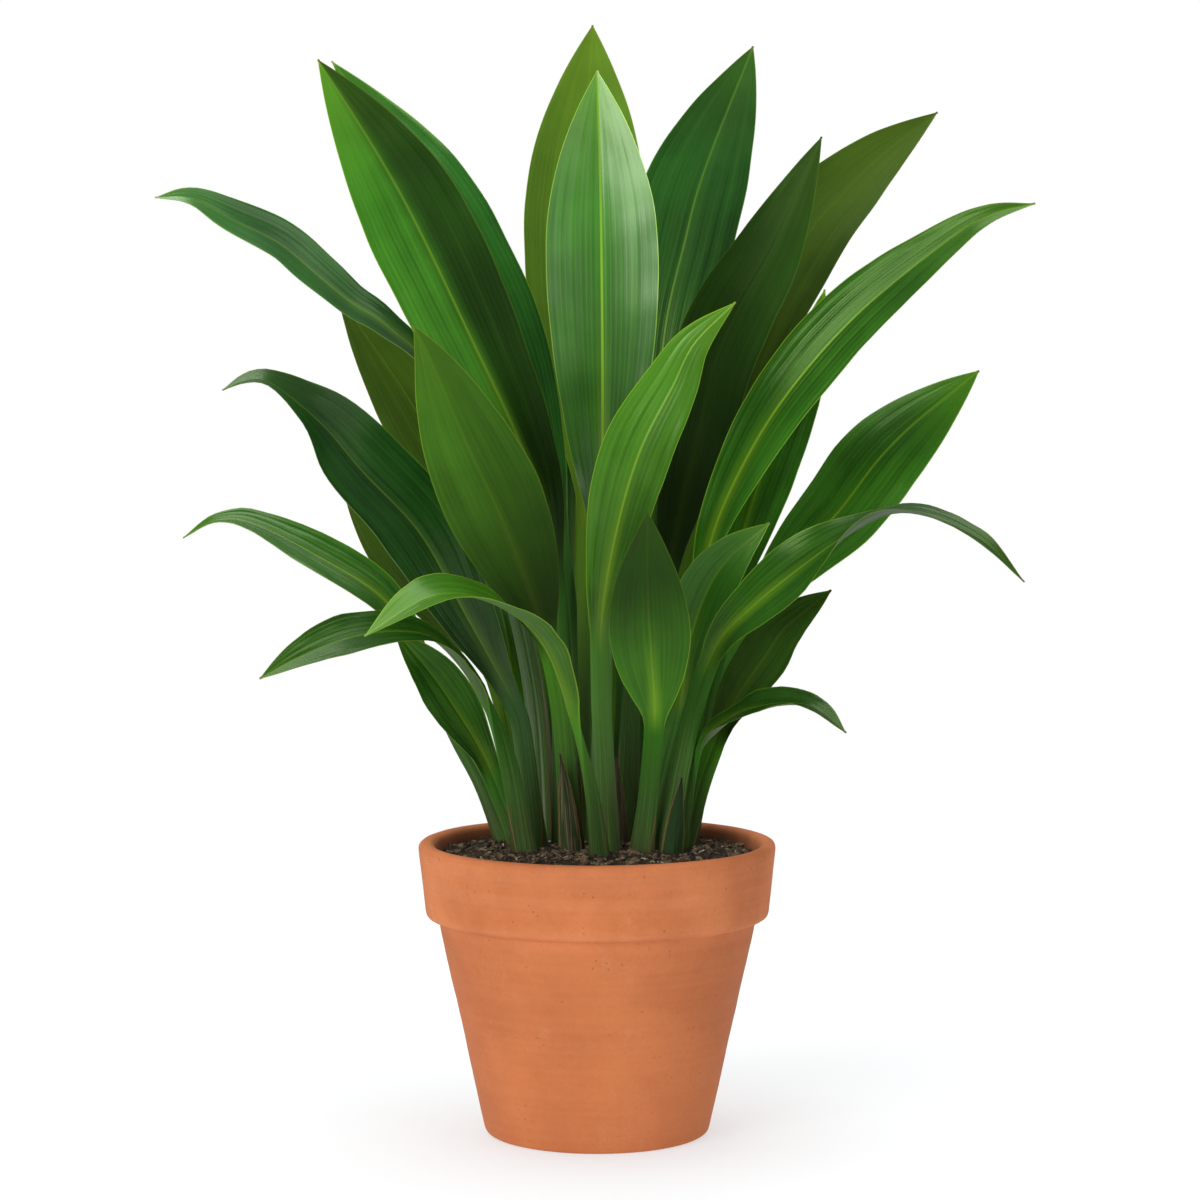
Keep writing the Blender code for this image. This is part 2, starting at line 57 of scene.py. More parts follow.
# Clay pot
POT_HEIGHT = 0.172
RIM_RADIUS = 0.105
BAND_HEIGHT = 0.044
BAND_FOOT = POT_HEIGHT - BAND_HEIGHT
BAND_FOOT_RADIUS = 0.1005
BODY_TOP_RADIUS = 0.0935
BASE_RADIUS = 0.0655
WALL = 0.0095
FLOOR = 0.012
DRAIN_RADIUS = 0.010
POT_SIDES = 176
RING_SPACING = 0.0035

# Soil, and the loose bits that lie on it
SOIL_RADIUS = 0.0946
SOIL_EDGE_HEIGHT = 0.1632
SOIL_CROWN = 0.0042
SOIL_CELLS = 190
CRUMBS = 700
BARK_CHIPS = 420
PALE_SLIVERS = 130
BITS_REACH = 0.975
BITS_LIFT = 0.25 * MM
CRUMB_LUMP = 0.9 * MM
FOOT_CLEAR = 0.0068

# Leaves
FOOT_WIDTH = 0.0125
FOOT_THICKNESS = 0.0042
STALK_WIDTH = 0.0068
STALK_THICKNESS = 0.0034
STALK_EDGE_HALF = 0.00012
BLADE_THICKNESS = 0.0006
TIP_WIDTH = 0.0012
STATION_SPACING = 0.006
ACROSS = 36
ROUTE_STEPS = 24
FOOT_CHANNEL = 0.45
STALK_CHANNEL = 0.7
CHANNEL_CURVE = 1.5
FLARE_FADE = 2.2
STALK_FADE = 2.5
CHANNEL_FADE = 6
SPLAY = 0.72
BLADE_FOLD = 0.24
BLADE_BASE_POWER = 0.75
BLADE_TIP_POWER = 1.9
TIP_CROWDING = 1.3
MARGIN_WAVE = 0.0018
RIPPLE = 0.0007
PLEAT = 0.00035
GROOVE, GROOVE_REACH = 0.0004, 0.0011
KEEL, KEEL_REACH = 0.0008, 0.0012
FURROW, FURROW_REACH = 0.0004, 0.0009
BODY_REACH = 0.0030

# Dry scale leaves
SHEATH_WIDTH = 0.0135
SHEATH_THICKNESS = 0.0005
SHEATH_CHANNEL = 0.75
SHEATH_TAPER = 2.2
SHEATH_SPACING = 0.0016
SHEATH_ACROSS = 28
SHEATH_TEAR = 0.16
SHEATH_CREASE = 0.0005

# Colours, as linear red, green and blue
CLAY_DARK = (0.50, 0.142, 0.043, 1)
CLAY_LIGHT = (0.63, 0.203, 0.072, 1)
CLAY_PALE = (0.74, 0.330, 0.175, 1)
CLAY_DUST = (0.78, 0.440, 0.280, 1)
# Painted shade on the pot's body below the rim band
CLAY_BODY_SHADE = (0.40, 0.108, 0.030, 1)
# Painted shade on the wall inside the rim, above the soil
CLAY_INSIDE_SHADE = (0.13, 0.050, 0.022, 1)
CLAY_PIT = (0.28, 0.080, 0.035, 1)
SPECK_DARK = (0.80, 0.80, 0.80, 1)
SPECK_LIGHT = (1.20, 1.20, 1.20, 1)
SOIL_DARK = (0.005, 0.004, 0.003, 1)
SOIL_LIGHT = (0.045, 0.030, 0.017, 1)
CRUMB_LIGHT = (0.120, 0.080, 0.045, 1)
BARK_DARK = (0.045, 0.029, 0.017, 1)
BARK_LIGHT = (0.270, 0.185, 0.110, 1)
SLIVER_DARK = (0.30, 0.23, 0.15, 1)
SLIVER_LIGHT = (0.62, 0.52, 0.38, 1)
TIP_BROWN = (0.20, 0.13, 0.045, 1)
STALK_DARK = (0.018, 0.060, 0.014, 1)
STALK_LIGHT = (0.085, 0.160, 0.032, 1)
STALK_GREY = (0.085, 0.110, 0.055, 1)
FOOT_BROWN = (0.075, 0.050, 0.028, 1)
HUSK_DARK = (0.055, 0.040, 0.022, 1)
HUSK_LIGHT = (0.170, 0.115, 0.062, 1)
HUSK_PALE = (0.260, 0.185, 0.110, 1)
HUSK_GREEN = (0.020, 0.040, 0.010, 1)
SEAM_BROWN = (0.230, 0.120, 0.055, 1)
# Partly the brown margins of a stalk's foot, partly painted shade at the rounded stalk's sides
STALK_EDGE = (0.040, 0.030, 0.016, 1)

# Each green: its dark part, its light part, its midrib and margin, and its underside
GREENS = {
    "deep": ((0.005, 0.040, 0.006, 1), (0.014, 0.088, 0.010, 1),
             (0.12, 0.25, 0.020, 1), (0.050, 0.110, 0.025, 1)),
    "mid": ((0.013, 0.078, 0.004, 1), (0.031, 0.150, 0.008, 1),
            (0.22, 0.40, 0.018, 1), (0.060, 0.130, 0.022, 1)),
    "bright": ((0.028, 0.120, 0.004, 1), (0.060, 0.215, 0.010, 1),
               (0.28, 0.47, 0.022, 1), (0.075, 0.160, 0.024, 1)),
    "yellow": ((0.050, 0.125, 0.004, 1), (0.100, 0.220, 0.010, 1),
               (0.30, 0.44, 0.026, 1), (0.085, 0.160, 0.020, 1)),
}

# How each leaf differs from the others of its green: how light it is towards its tip and at its blade's foot
# (partly its own tone, partly painted light and shade), how strongly its midrib shows, how much lighter one
# half is painted, and how waxy it is
PLAIN_LOOKS = (1.0, 0.65, 0.5, 0.0, 0.0)
LOOKS = {
    "leaf_back_centre": (1.2, 1.2, 0.2, 0.0, 0.0),
    "leaf_front_centre": (1.9, 0.65, 0.95, 0.0, 0.9),
    "leaf_back_right_tall": (1.15, 0.75, 0.8, 0.0, 0.0),
    "leaf_left_tall": (1.12, 0.58, 0.7, 0.6, 0.15),
    "leaf_left_tall_behind": (2.2, 1.2, 0.5, 0.0, 0.0),
    "leaf_far_left": (2.1, 1.2, 0.5, 0.0, 0.9),
    "leaf_far_left_behind": (0.6, 0.6, 0.5, 0.0, 0.0),
    "leaf_left_arching": (0.95, 0.5, 0.8, 0.0, 0.3),
    "leaf_left_upright": (0.85, 0.12, 0.25, 0.2, 0.0),
    "leaf_low_left_long": (1.0, 0.8, 0.5, 0.0, 0.2),
    "leaf_low_left_drooping": (0.6, 0.5, 0.5, 0.0, 0.0),
    "leaf_front_arching": (0.95, 0.7, 0.5, 0.0, 0.0),
    "leaf_front_curved": (1.0, 0.65, 0.6, 0.15, 0.2),
    "leaf_front_small": (0.36, 1.3, 0.3, 0.0, 0.0),
    "leaf_right_upright": (0.5, 0.12, 0.15, 0.0, 0.0),
    "leaf_right_behind": (0.52, 0.4, 0.2, 0.0, 0.0),
    "leaf_far_right_long": (0.85, 1.6, 0.8, 0.0, 0.0),
    "leaf_right_inner": (1.4, 0.9, 0.5, 0.0, 0.0),
    "leaf_low_right_broad": (1.1, 0.85, 0.7, 0.0, 0.0),
    "leaf_low_right_arching": (0.42, 0.85, 0.5, 0.0, 0.0),
    "leaf_right_small": (1.0, 0.9, 0.5, 0.0, 0.2),
    "leaf_low_right_small": (0.4, 0.22, 0.5, 0.0, 0.0),
    "leaf_low_right_drooping": (0.38, 0.35, 0.5, 0.0, 0.0),
    "leaf_low_left_small": (0.7, 0.55, 0.5, 0.0, 0.0),
    "leaf_low_left_behind": (0.55, 0.5, 0.5, 0.0, 0.0),
}

# Leaves that turn their duller underside to the side most looked at
TURNED_OVER = {
    "leaf_left_upright", "leaf_front_small", "leaf_back_centre", "leaf_right_upright",
    "leaf_right_behind", "leaf_far_left_behind", "leaf_low_left_behind", "leaf_low_right_small",
}

# How much of each scale leaf at the foot is still green
HUSK_FRESH = {"sheath_left": 0.25, "sheath_middle": 0.1, "sheath_right": 0.9}

LEAF_SHINE = 0.42
BACK_SHINE = 0.24
LEAF_SHEEN = (0.65, 1.0, 0.35, 1)
VEINS_PER_CM = 3.4

# Floor and light
FLOOR_RADIUS = 0.9
FLOOR_WHITE = (0.430, 0.450, 0.460, 1)
FLOOR_GLOW = 0.56
AMBIENT = 0.24

# Each soft light: its name, the way it shines, its strength and how wide it is in degrees
SUNS = [
    ("key_light", (0.58, 0.80, -0.26), 1.85, 34),
    ("fill_light", (-0.78, 0.65, -0.26), 0.60, 50),
    ("top_light", (0.05, -0.12, -1.0), 2.40, 60),
]

# Each leaf: its blade's width in centimetres, where along the leaf the blade starts and where along
# the blade it is broadest (0 to 1), the ways its upper face looks at the foot, the blade and the
# tip, its green, and the route of its midrib in centimetres from the foot in the soil to the tip.
FRONT = (0, -1, 0.2)
LEAVES = {
    "leaf_back_centre": (7.6, 0.42, 0.57, [FRONT, (0.3, -1, 0.4), (0.1, -1, 0.5)], "yellow", [
        (-0.4, 3.0, 15.4), (-0.6, 4.5, 28.5), (-0.8, 7.6, 38.5), (-1, 11.4, 48.9), (-0.7, 14.4, 58),
        (-0.3, 17, 66)]),
    "leaf_front_centre": (6.4, 0.42, 0.62, [FRONT, (0.1, -1, 0), (0, -1, 0)], "mid", [
        (0.2, 1.4, 15.4), (0.3, -0.5, 29), (0.3, -2.4, 39), (0.3, -3.6, 45.7), (0.2, -3.8, 54.4),
        (0, -2.6, 61.8)]),
    "leaf_back_right_tall": (6.8, 0.38, 0.62, [FRONT, (-0.3, -1, 0.3), (-0.3, -1, 0.4)], "deep", [
        (1.5, 4.3, 15.4), (2.3, 5.6, 28.5), (3.3, 6.9, 37), (4, 8.7, 46.5), (5.3, 10.2, 52.4),
        (6.5, 11.6, 56.7), (9.6, 14.5, 64.5)]),
    "leaf_left_tall": (6.3, 0.36, 0.62, [FRONT, (-0.2, -1, 0), (-0.2, -1, 0)], "mid", [
        (-1.9, 2.4, 15.4), (-2.2, 1.5, 26.5), (-2.8, 0.8, 35.5), (-4.5, 0.2, 40.5), (-7.5, -0.4, 47),
        (-10.4, -1, 53.1), (-12.6, -1.3, 57.1), (-16.0, -1.6, 62.5)]),
    "leaf_left_tall_behind": (5.4, 0.38, 0.55, [FRONT, (0.4, -1, 0.2), (0.4, -1, 0.2)], "deep", [
        (-1.3, 4.6, 15.4), (-1.6, 5.5, 28), (-2.5, 5.6, 35.7), (-3.7, 6.2, 41), (-5.5, 7.2, 46.3),
        (-7.7, 8.3, 51), (-10.2, 9.6, 55.6), (-13.2, 10.8, 59.7), (-16.2, 12, 63.4)]),
    "leaf_far_left": (3.1, 0.60, 0.60, [FRONT, FRONT, (0.3, -0.9, 0.6), (0.2, -0.8, 0.7)], "deep", [
        (-3.1, 4.0, 15.4), (-3.7, 4.2, 25), (-5.5, 3.8, 33.5), (-7.5, 3.2, 40.3), (-9.6, 2.4, 44.7),
        (-12.5, 1, 47.5), (-14.2, 0.2, 48.6), (-16, -0.8, 50.1), (-18.2, -2, 52), (-20.7, -3.4, 53.3),
        (-23, -4.6, 54.5), (-24.9, -5.5, 54.5)]),
    "leaf_far_left_behind": (5.4, 0.45, 0.50, [FRONT, (0.4, -1, 0.3), (0.4, -1, 0.3)], "yellow", [
        (-2.5, 5.6, 15.4), (-3.5, 6.8, 26), (-5.9, 8, 33.2), (-10.1, 9.6, 40.5), (-12.1, 10.5, 43.8),
        (-14.7, 11.4, 47.5), (-15.9, 11.8, 49.1)]),
    "leaf_left_arching": (5.4, 0.30, 0.56, [
        FRONT, FRONT, (0.2, -1, 0.4), (0.2, -0.8, 0.6), (0.2, -0.3, 1)], "deep", [
        (-3.5, 1.0, 15.4), (-4.3, 0.3, 22.8), (-5, -0.3, 25.5), (-7.8, -1.8, 31), (-10.2, -3.2, 35.5),
        (-13.3, -4.6, 39), (-15.6, -5.6, 41.8), (-18.3, -6.8, 44.1), (-19.6, -7.2, 44.3), (-21, -7.5, 43.7)]),
    "leaf_left_upright": (5.7, 0.41, 0.47, [FRONT, (0, -1, -0.1), (0.1, -1, 0)], "bright", [
        (-1.4, 0.2, 15.4), (-2.2, -1.2, 25.6), (-3.6, -2.8, 31.5), (-5.5, -4.6, 36.5), (-7.5, -6.4, 41),
        (-9.3, -8, 45.4), (-10.2, -8.8, 47.3)]),
    "leaf_low_left_long": (3.2, 0.45, 0.40, [FRONT, (0.3, -0.7, 0.6), (0, -0.45, 0.9)], "mid", [
        (-4.9, 4.0, 15.4), (-6.6, 4.1, 19.7), (-8.1, 4.2, 22.5), (-9.6, 4.4, 25.6), (-11.3, 4.6, 29),
        (-13, 4.9, 31.3), (-16, 5.3, 33.2), (-20.5, 5.8, 35.5), (-22.9, 6.2, 35.7), (-24.9, 6.6, 34.6)]),
    "leaf_low_left_drooping": (3.1, 0.40, 0.60, [FRONT, (0.4, -0.3, 0.9), (-0.2, -0.8, 0.6)], "mid", [
        (-4.1, -0.4, 15.4), (-5.2, -2, 22.2), (-6.7, -4, 26.5), (-8.9, -6.6, 29.5),
        (-11, -8.9, 30.3), (-13.7, -11, 30.1), (-16.3, -12.8, 29.2), (-18.4, -14, 28.1)]),
    "leaf_front_arching": (3.9, 0.36, 0.55, [(0.6, -0.8, 0.2), (0.5, 0.1, 0.9), (-0.2, -0.6, 0.8)],
                           "bright", [
        (0.3, -2.8, 15.4), (-0.3, -4, 20.7), (-1.3, -6.2, 25.3), (-2.7, -9, 29.3), (-4.5, -11.8, 31.5),
        (-6.9, -14.6, 32.75), (-9.2, -17, 32.75), (-12.3, -19.5, 30.9)]),
    "leaf_front_curved": (4.1, 0.42, 0.50, [FRONT, (-0.3, -1, 0), (-0.3, -1, 0.2)], "bright", [
        (0.65, -1.0, 15.4), (0.4, -2.2, 22.2), (0.2, -3.4, 26.4), (0.3, -4.9, 31), (1.1, -6.3, 35.8),
        (2.4, -7.3, 40.3), (4.25, -8, 44), (5.4, -8.4, 46.3), (7.7, -8.6, 48.6)]),
    "leaf_front_small": (4.6, 0.42, 0.45, [FRONT, (0, -1, -0.1), (0, -1, -0.2)], "mid", [
        (2.45, -1.1, 15.4), (3.05, -2.1, 21), (3.3, -4.1, 25.2), (3.1, -5.9, 28.3), (2.9, -7.4, 31.3),
        (2.8, -9.2, 34.2), (2.8, -10.6, 37)]),
    "leaf_right_upright": (5.2, 0.38, 0.55, [FRONT, (-0.4, -1, 0.1), (-0.4, -1, 0.2)], "mid", [
        (3.0, 3.4, 15.4), (3.5, 3.6, 25), (4.4, 4, 33.5), (6.1, 4.6, 41), (7, 4.6, 45),
        (8.5, 4.4, 48.5), (10.2, 4.2, 51.5), (11.9, 4, 55.3), (13.2, 3.8, 58.4)]),
    "leaf_right_behind": (5.8, 0.42, 0.58, [FRONT, (-0.4, -1, 0.3), (-0.4, -1, 0.3)], "yellow", [
        (2.9, 5.5, 15.4), (4.3, 6.8, 27.8), (6.2, 8.6, 35.6), (9, 10.5, 45.2), (12.7, 12, 52.5),
        (15.4, 12.6, 55.7), (17.6, 13, 57.8), (20.9, 13.4, 60.4)]),
    "leaf_far_right_long": (4.0, 0.36, 0.52, [FRONT, (-0.4, -1, 0.2), (-0.4, -0.9, 0.5)], "mid", [
        (3.1, 2.3, 15.4), (4.9, 1.6, 25.3), (6, 0.8, 31.3), (6.8, 0.2, 35.4), (8.7, -1.2, 39.8),
        (11.2, -2.4, 43.8), (15, -3.2, 48.1), (20, -4, 52.2), (22.3, -4.4, 53.6), (24.8, -4.6, 54.2)]),
    "leaf_right_inner": (4.5, 0.42, 0.50, [FRONT, (-0.4, -1, 0.2), (-0.4, -1, 0.2)], "mid", [
        (4.8, 3.6, 15.4), (6.7, 3, 25.8), (7.8, 2.6, 31.7), (8.5, 2.2, 34.8), (9.7, 1.6, 38.7),
        (11.3, 1, 43), (12.6, 0.6, 46.5), (13.2, 0.2, 49.4)]),
    "leaf_low_right_broad": (5.5, 0.42, 0.55, [FRONT, (-0.2, -1, 0.4), (-0.2, -1, 0.5)], "mid", [
        (4.3, 4.8, 15.4), (6.9, 5.4, 24.9), (10.1, 6.2, 30.9), (12.2, 6.9, 33.7), (14.6, 7.6, 36.2),
        (17.1, 8.3, 39.4), (19.5, 9, 41.7), (23.2, 9.8, 44.6)]),
    "leaf_low_right_arching": (3.5, 0.36, 0.34, [
        FRONT, FRONT, (-0.1, -1, 0.5), (0.2, -0.25, 1), (0.6, -0.6, 0.6)], "mid", [
        (3.8, -0.6, 15.4), (4.9, -1.2, 22), (5.9, -2.2, 26.3), (7.1, -3, 29.3), (9.1, -4.2, 31.5),
        (11.1, -5.6, 33.3), (13.3, -7, 35.1), (15, -8, 36.3), (16.6, -9, 37), (18.2, -10, 36.9),
        (19.8, -10.9, 36.3), (21.5, -11.8, 35.3), (23.4, -12.8, 33.3)]),
    "leaf_right_small": (3.4, 0.45, 0.50, [FRONT, FRONT, FRONT], "mid", [
        (2.6, 1.2, 15.4), (3.9, 0.7, 21.3), (4.9, 0.2, 25.5), (5.4, -0.4, 29), (6.5, -1.2, 32.2),
        (7.9, -2, 34.2), (9.9, -2.8, 36)]),
    "leaf_low_right_small": (3.1, 0.42, 0.50, [FRONT, (-0.2, -1, 0.3), (-0.2, -1, 0.3)], "bright", [
        (5.0, 2.1, 15.4), (5.9, 1.4, 19.7), (6.9, 0.6, 22.8), (8.0, -0.4, 25.5), (9.8, -1.6, 28.3),
        (10.9, -2.4, 30), (13.4, -3.8, 32.2)]),
    "leaf_low_right_drooping": (2.4, 0.42, 0.50, [FRONT, (-0.3, -0.6, 0.8), (0.2, -0.4, 0.9)], "mid", [
        (4.6, 0.6, 15.4), (5.1, -0.2, 20.2), (5.7, -1, 22.7), (6.8, -2.4, 24.1), (8.4, -4.6, 25.4),
        (10.6, -7.2, 26.1), (12.2, -9.2, 26), (13.8, -11, 24.8)]),
    "leaf_low_left_small": (3.0, 0.38, 0.50, [FRONT, (0.2, -1, 0.3), (0.2, -1, 0.3)], "mid", [
        (-4.2, 2.4, 15.4), (-5.9, 2.2, 19.9), (-7, 1.8, 22.6), (-8.9, 0.8, 25.8), (-10.1, 0.2, 27.5),
        (-11.8, -0.6, 29.6)]),
    "leaf_low_left_behind": (4.4, 0.45, 0.50, [FRONT, (0.5, -1, 0.3), (0.5, -1, 0.3)], "yellow", [
        (-4.4, 5.5, 15.4), (-5.8, 6.8, 24.8), (-8.6, 8.4, 29.5), (-11.7, 9.6, 32.8), (-15.4, 10.8, 36.7)]),
    "leaf_rear_left": (5.0, 0.40, 0.50, [FRONT, (0.2, -1, 0.4), (0, -1, 0.5)], "deep", [
        (-1.2, 6.4, 15.4), (-1.4, 9.4, 30.5), (-1.2, 12.2, 39.7), (-1.6, 14.6, 47), (-2.2, 16, 51)]),
    "leaf_rear_right": (4.8, 0.40, 0.50, [FRONT, (-0.2, -1, 0.3), (0, -1, 0.5)], "deep", [
        (1.3, 6.6, 15.4), (1.9, 9.5, 28), (2.4, 12.4, 36.5), (2.8, 15, 43), (3, 17, 47.5)]),
    "leaf_rear_tall_left": (5.2, 0.40, 0.50, [FRONT, (0.8, -1, 0.3), (0.8, -1, 0.4)], "mid", [
        (-2.5, 7.6, 15.4), (-3.1, 10, 27), (-4.4, 13, 37), (-6.2, 15.4, 44), (-8.8, 17.6, 51)]),
    "leaf_rear_tall_right": (5.0, 0.40, 0.50, [FRONT, (-0.8, -1, 0.3), (-0.8, -1, 0.4)], "mid", [
        (2.5, 7.4, 15.4), (2.7, 9.0, 22), (3.6, 11, 29), (5.6, 13.6, 37), (7.2, 16, 44), (9, 18, 49.5)]),
    "leaf_rear_low_left": (4.2, 0.38, 0.50, [FRONT, (0.5, -0.6, 0.7), (0.1, 0.2, 1)], "mid", [
        (-4.3, 7.4, 15.4), (-4.9, 10, 23), (-5.8, 13.4, 29), (-7.2, 16.6, 32), (-8.8, 19.4, 32)]),
    "leaf_rear_low_centre": (4.0, 0.38, 0.50, [FRONT, (0, -0.6, 0.8), (0, 0.3, 1)], "bright", [
        (0.7, 8.2, 15.4), (0.8, 10.6, 22.5), (0.5, 14, 28.5), (-0.2, 17, 30.8), (-1, 19.6, 29.6)]),
    "leaf_rear_low_right": (4.2, 0.38, 0.50, [FRONT, (-0.5, -0.6, 0.7), (-0.1, 0.2, 1)], "mid", [
        (4.4, 6.8, 15.4), (5.6, 10, 23), (7, 13.2, 28), (8.8, 16.4, 30.4), (10.6, 19.2, 29.6)]),
}

# Each dry scale leaf round the foot of a stalk: the way its hollow side looks, and its route.
SHEATHS = {
    "sheath_left": ((0.1, 1, 0.1), [
        (-1.5, -0.65, 15.4), (-1.7, -0.95, 18), (-1.9, -1.3, 20.5), (-2.15, -1.6, 22.5)]),
    "sheath_middle": ((-0.3, 1, 0.1), [
        (1.4, 2.4, 15.4), (1.35, 2.6, 18), (1.25, 2.9, 20), (1.1, 3.3, 21.8)]),
    "sheath_right": ((-0.1, 1, 0.1), [
        (4.25, -1.6, 15.4), (4.5, -1.75, 17.5), (4.7, -1.95, 19.5), (4.9, -2.2, 21.2)]),
}

# Leaves whose halves bend back, and how far
FOLDS = {"leaf_left_tall": -0.10, "leaf_low_right_broad": -0.08}

# Where each stalk and scale leaf comes out of the soil, which the loose bits keep clear of
FEET = [(spec[5][0][0] * CM, spec[5][0][1] * CM) for spec in LEAVES.values()]
FEET += [(route[0][0] * CM, route[0][1] * CM) for face, route in SHEATHS.values()]


# ---- Material helpers ----

def add(tree, kind, **settings):
    made = tree.nodes.new("ShaderNode" + kind)
    for name, value in settings.items():
        setattr(made, name, value)
    return made


def feed(tree, socket, value):
    """Links an output into this socket, or sets its value."""
    if isinstance(value, bpy.types.NodeSocket):
        tree.links.new(value, socket)
    else:
        socket.default_value = value


def fill(tree, sockets, **values):
    """Feeds each socket by its label, in which _ stands for a space."""
    for label, value in values.items():
        feed(tree, sockets[label.replace("_", " ")], value)


def filled(tree, kind, **values):
    made = add(tree, kind)
    fill(tree, made.inputs, **values)
    return made.outputs


def figure(tree, operation, *values):
    made = add(tree, "Math", operation=operation)
    for socket, value in zip(made.inputs, values):
        feed(tree, socket, value)
    return made.outputs[0]


def times(tree, first, second):
    return figure(tree, "MULTIPLY", first, second)


def times_plus(tree, first, second, rest):
    return figure(tree, "MULTIPLY_ADD", first, second, rest)


def fade(tree, value, low, high, start=0.0, end=1.0):
    """Start below low, end above high, and a smooth change between."""
    made = add(tree, "MapRange", interpolation_type="SMOOTHSTEP")
    for socket, given in zip(made.inputs, (value, low, high, start, end)):
        feed(tree, socket, given)
    return made.outputs["Result"]


def dye(tree, share, first, second, way="MIX"):
    """Two colours mixed."""
    made = add(tree, "Mix", data_type="RGBA", blend_type=way)
    feed(tree, made.inputs[0], share)
    feed(tree, made.inputs[6], first)
    feed(tree, made.inputs[7], second)
    return made.outputs[2]


def cloud(tree, vector, scale, detail=2.0, roughness=0.5):
    return filled(tree, "TexNoise", Vector=vector, Scale=scale, Detail=detail, Roughness=roughness)[0]


def stretched(tree, vector, scale):
    return filled(tree, "Mapping", Vector=vector, Scale=scale)[0]


def attribute(tree, name):
    return add(tree, "Attribute", attribute_name=name).outputs["Fac"]


def object_place(tree):
    return add(tree, "TexCoord").outputs["Object"]


def unwrapped(tree):
    """The UV map's two directions: along the leaf and across it."""
    return axes(tree, add(tree, "UVMap", uv_map="UVMap").outputs[0])[:2]


def axes(tree, vector):
    return filled(tree, "SeparateXYZ", Vector=vector)[:3]


def off_middle(tree, across):
    """0 along the middle of a leaf and 1 at both its margins."""
    return figure(tree, "ABSOLUTE", times_plus(tree, across, 2.0, -1.0))


def new_group(name, inputs, outputs):
    """A shader node group, with its input and output sockets."""
    group = bpy.data.node_groups.new(name, "ShaderNodeTree")
    for label, kind, value in inputs:
        socket = group.interface.new_socket(label, in_out="INPUT", socket_type="NodeSocket" + kind)
        socket.default_value = value
    for label, kind in outputs:
        group.interface.new_socket(label, in_out="OUTPUT", socket_type="NodeSocket" + kind)
    return group, group.nodes.new("NodeGroupInput").outputs, group.nodes.new("NodeGroupOutput").inputs


def use_group(tree, group, **values):
    made = add(tree, "Group")
    made.node_tree = group
    fill(tree, made.inputs, **values)
    return made.outputs


def new_material(name, roughness):
    made = bpy.data.materials.new(name)
    made.use_nodes = True
    shader = made.node_tree.nodes["Principled BSDF"]
    shader.inputs["Roughness"].default_value = roughness
    return made, made.node_tree, shader.inputs


def bump(tree, shader, height, distance, strength):
    """Height is in units of distance."""
    made = filled(tree, "Bump", Strength=strength, Distance=distance, Height=height)
    feed(tree, shader["Normal"], made["Normal"])


# ---- Materials ----

def grain_group():
    """Soft blotches, fine specks and turned rings, in object coordinates."""
    labels = ("Blotches", "Specks", "Rings", "Grain")
    group, given, out = new_group(
        "clay_grain", [("Vector", "Vector", (0, 0, 0))], [(label, "Float") for label in labels])
    place = given["Vector"]
    fill(group, out,
         Blotches=cloud(group, place, 16.0, 5.0, 0.6),
         Specks=cloud(group, place, 420.0, 3.0, 0.6),
         Rings=cloud(group, stretched(group, place, (3.0, 3.0, 240.0)), 1.0, 3.0, 0.55),
         Grain=cloud(group, place, 1300.0, 2.0, 0.6))
    return group


def rare_pits(tree, place):
    """Small round pits, in a few places only."""
    near = filled(tree, "TexVoronoi", Vector=place, Scale=260.0)["Distance"]
    return times(tree, fade(tree, near, 0.10, 0.17, 1.0, 0.0),
                 fade(tree, cloud(tree, place, 60.0), 0.56, 0.64))


def painted_shade_inside(tree, place, blotches):
    """Painted shade on the wall inside the rim: darkest at the soil, fading upwards."""
    x, y, z = axes(tree, place)
    inner = RIM_RADIUS - WALL
    out = figure(tree, "SQRT", figure(tree, "ADD", figure(tree, "POWER", x, 2.0),
                                      figure(tree, "POWER", y, 2.0)))
    inside = times(tree, fade(tree, z, 0.150, 0.156),
                   fade(tree, out, inner - 0.001, inner + 0.003, 1.0, 0.0))
    level = times_plus(tree, blotches, 0.012, z)
    return times(tree, inside, fade(tree, level, 0.166, 0.179, 1.0, 0.35))


def clay_material(group):
    made, tree, shader = new_material("terracotta_clay", 0.8)
    place = object_place(tree)
    grain = use_group(tree, group, Vector=place)
    blotches = grain["Blotches"]
    pits = rare_pits(tree, place)
    dust = fade(tree, cloud(tree, place, 45.0, 6.0, 0.7), 0.58, 0.78)
    # Painted shade: the body below the rim band is mixed darker than the band
    painted_body_shade = fade(tree, axes(tree, place)[2], BAND_FOOT - 0.010, BAND_FOOT + 0.004, 0.38, 0.0)
    colour = dye(tree, fade(tree, blotches, 0.32, 0.68), CLAY_DARK, CLAY_LIGHT)
    for share, stain in (
            (times(tree, fade(tree, grain["Rings"], 0.35, 0.7), 0.10), CLAY_PALE),
            (times(tree, dust, 0.25), CLAY_DUST),
            (times(tree, pits, 0.55), CLAY_PIT),
            # painted shade inside the rim, darkest at the soil
            (painted_shade_inside(tree, place, blotches), CLAY_INSIDE_SHADE),
            (painted_body_shade, CLAY_BODY_SHADE)):
        colour = dye(tree, share, colour, stain)
    specks = fade(tree, grain["Specks"], 0.3, 0.7, -0.5, 0.5)
    speckle = dye(tree, times_plus(tree, specks, 0.14, 0.5), SPECK_DARK, SPECK_LIGHT)
    height = times_plus(tree, grain["Rings"], 0.16, times(tree, grain["Specks"], 0.12))
    height = times_plus(tree, grain["Grain"], 0.06, height)
    height = times_plus(tree, pits, -0.35, height)
    fill(tree, shader, Base_Color=dye(tree, 1.0, colour, speckle, "MULTIPLY"),
         Roughness=fade(tree, blotches, 0.3, 0.7, 0.74, 0.9), Specular_IOR_Level=0.35)
    bump(tree, shader, height, MM, 0.8)
    return made


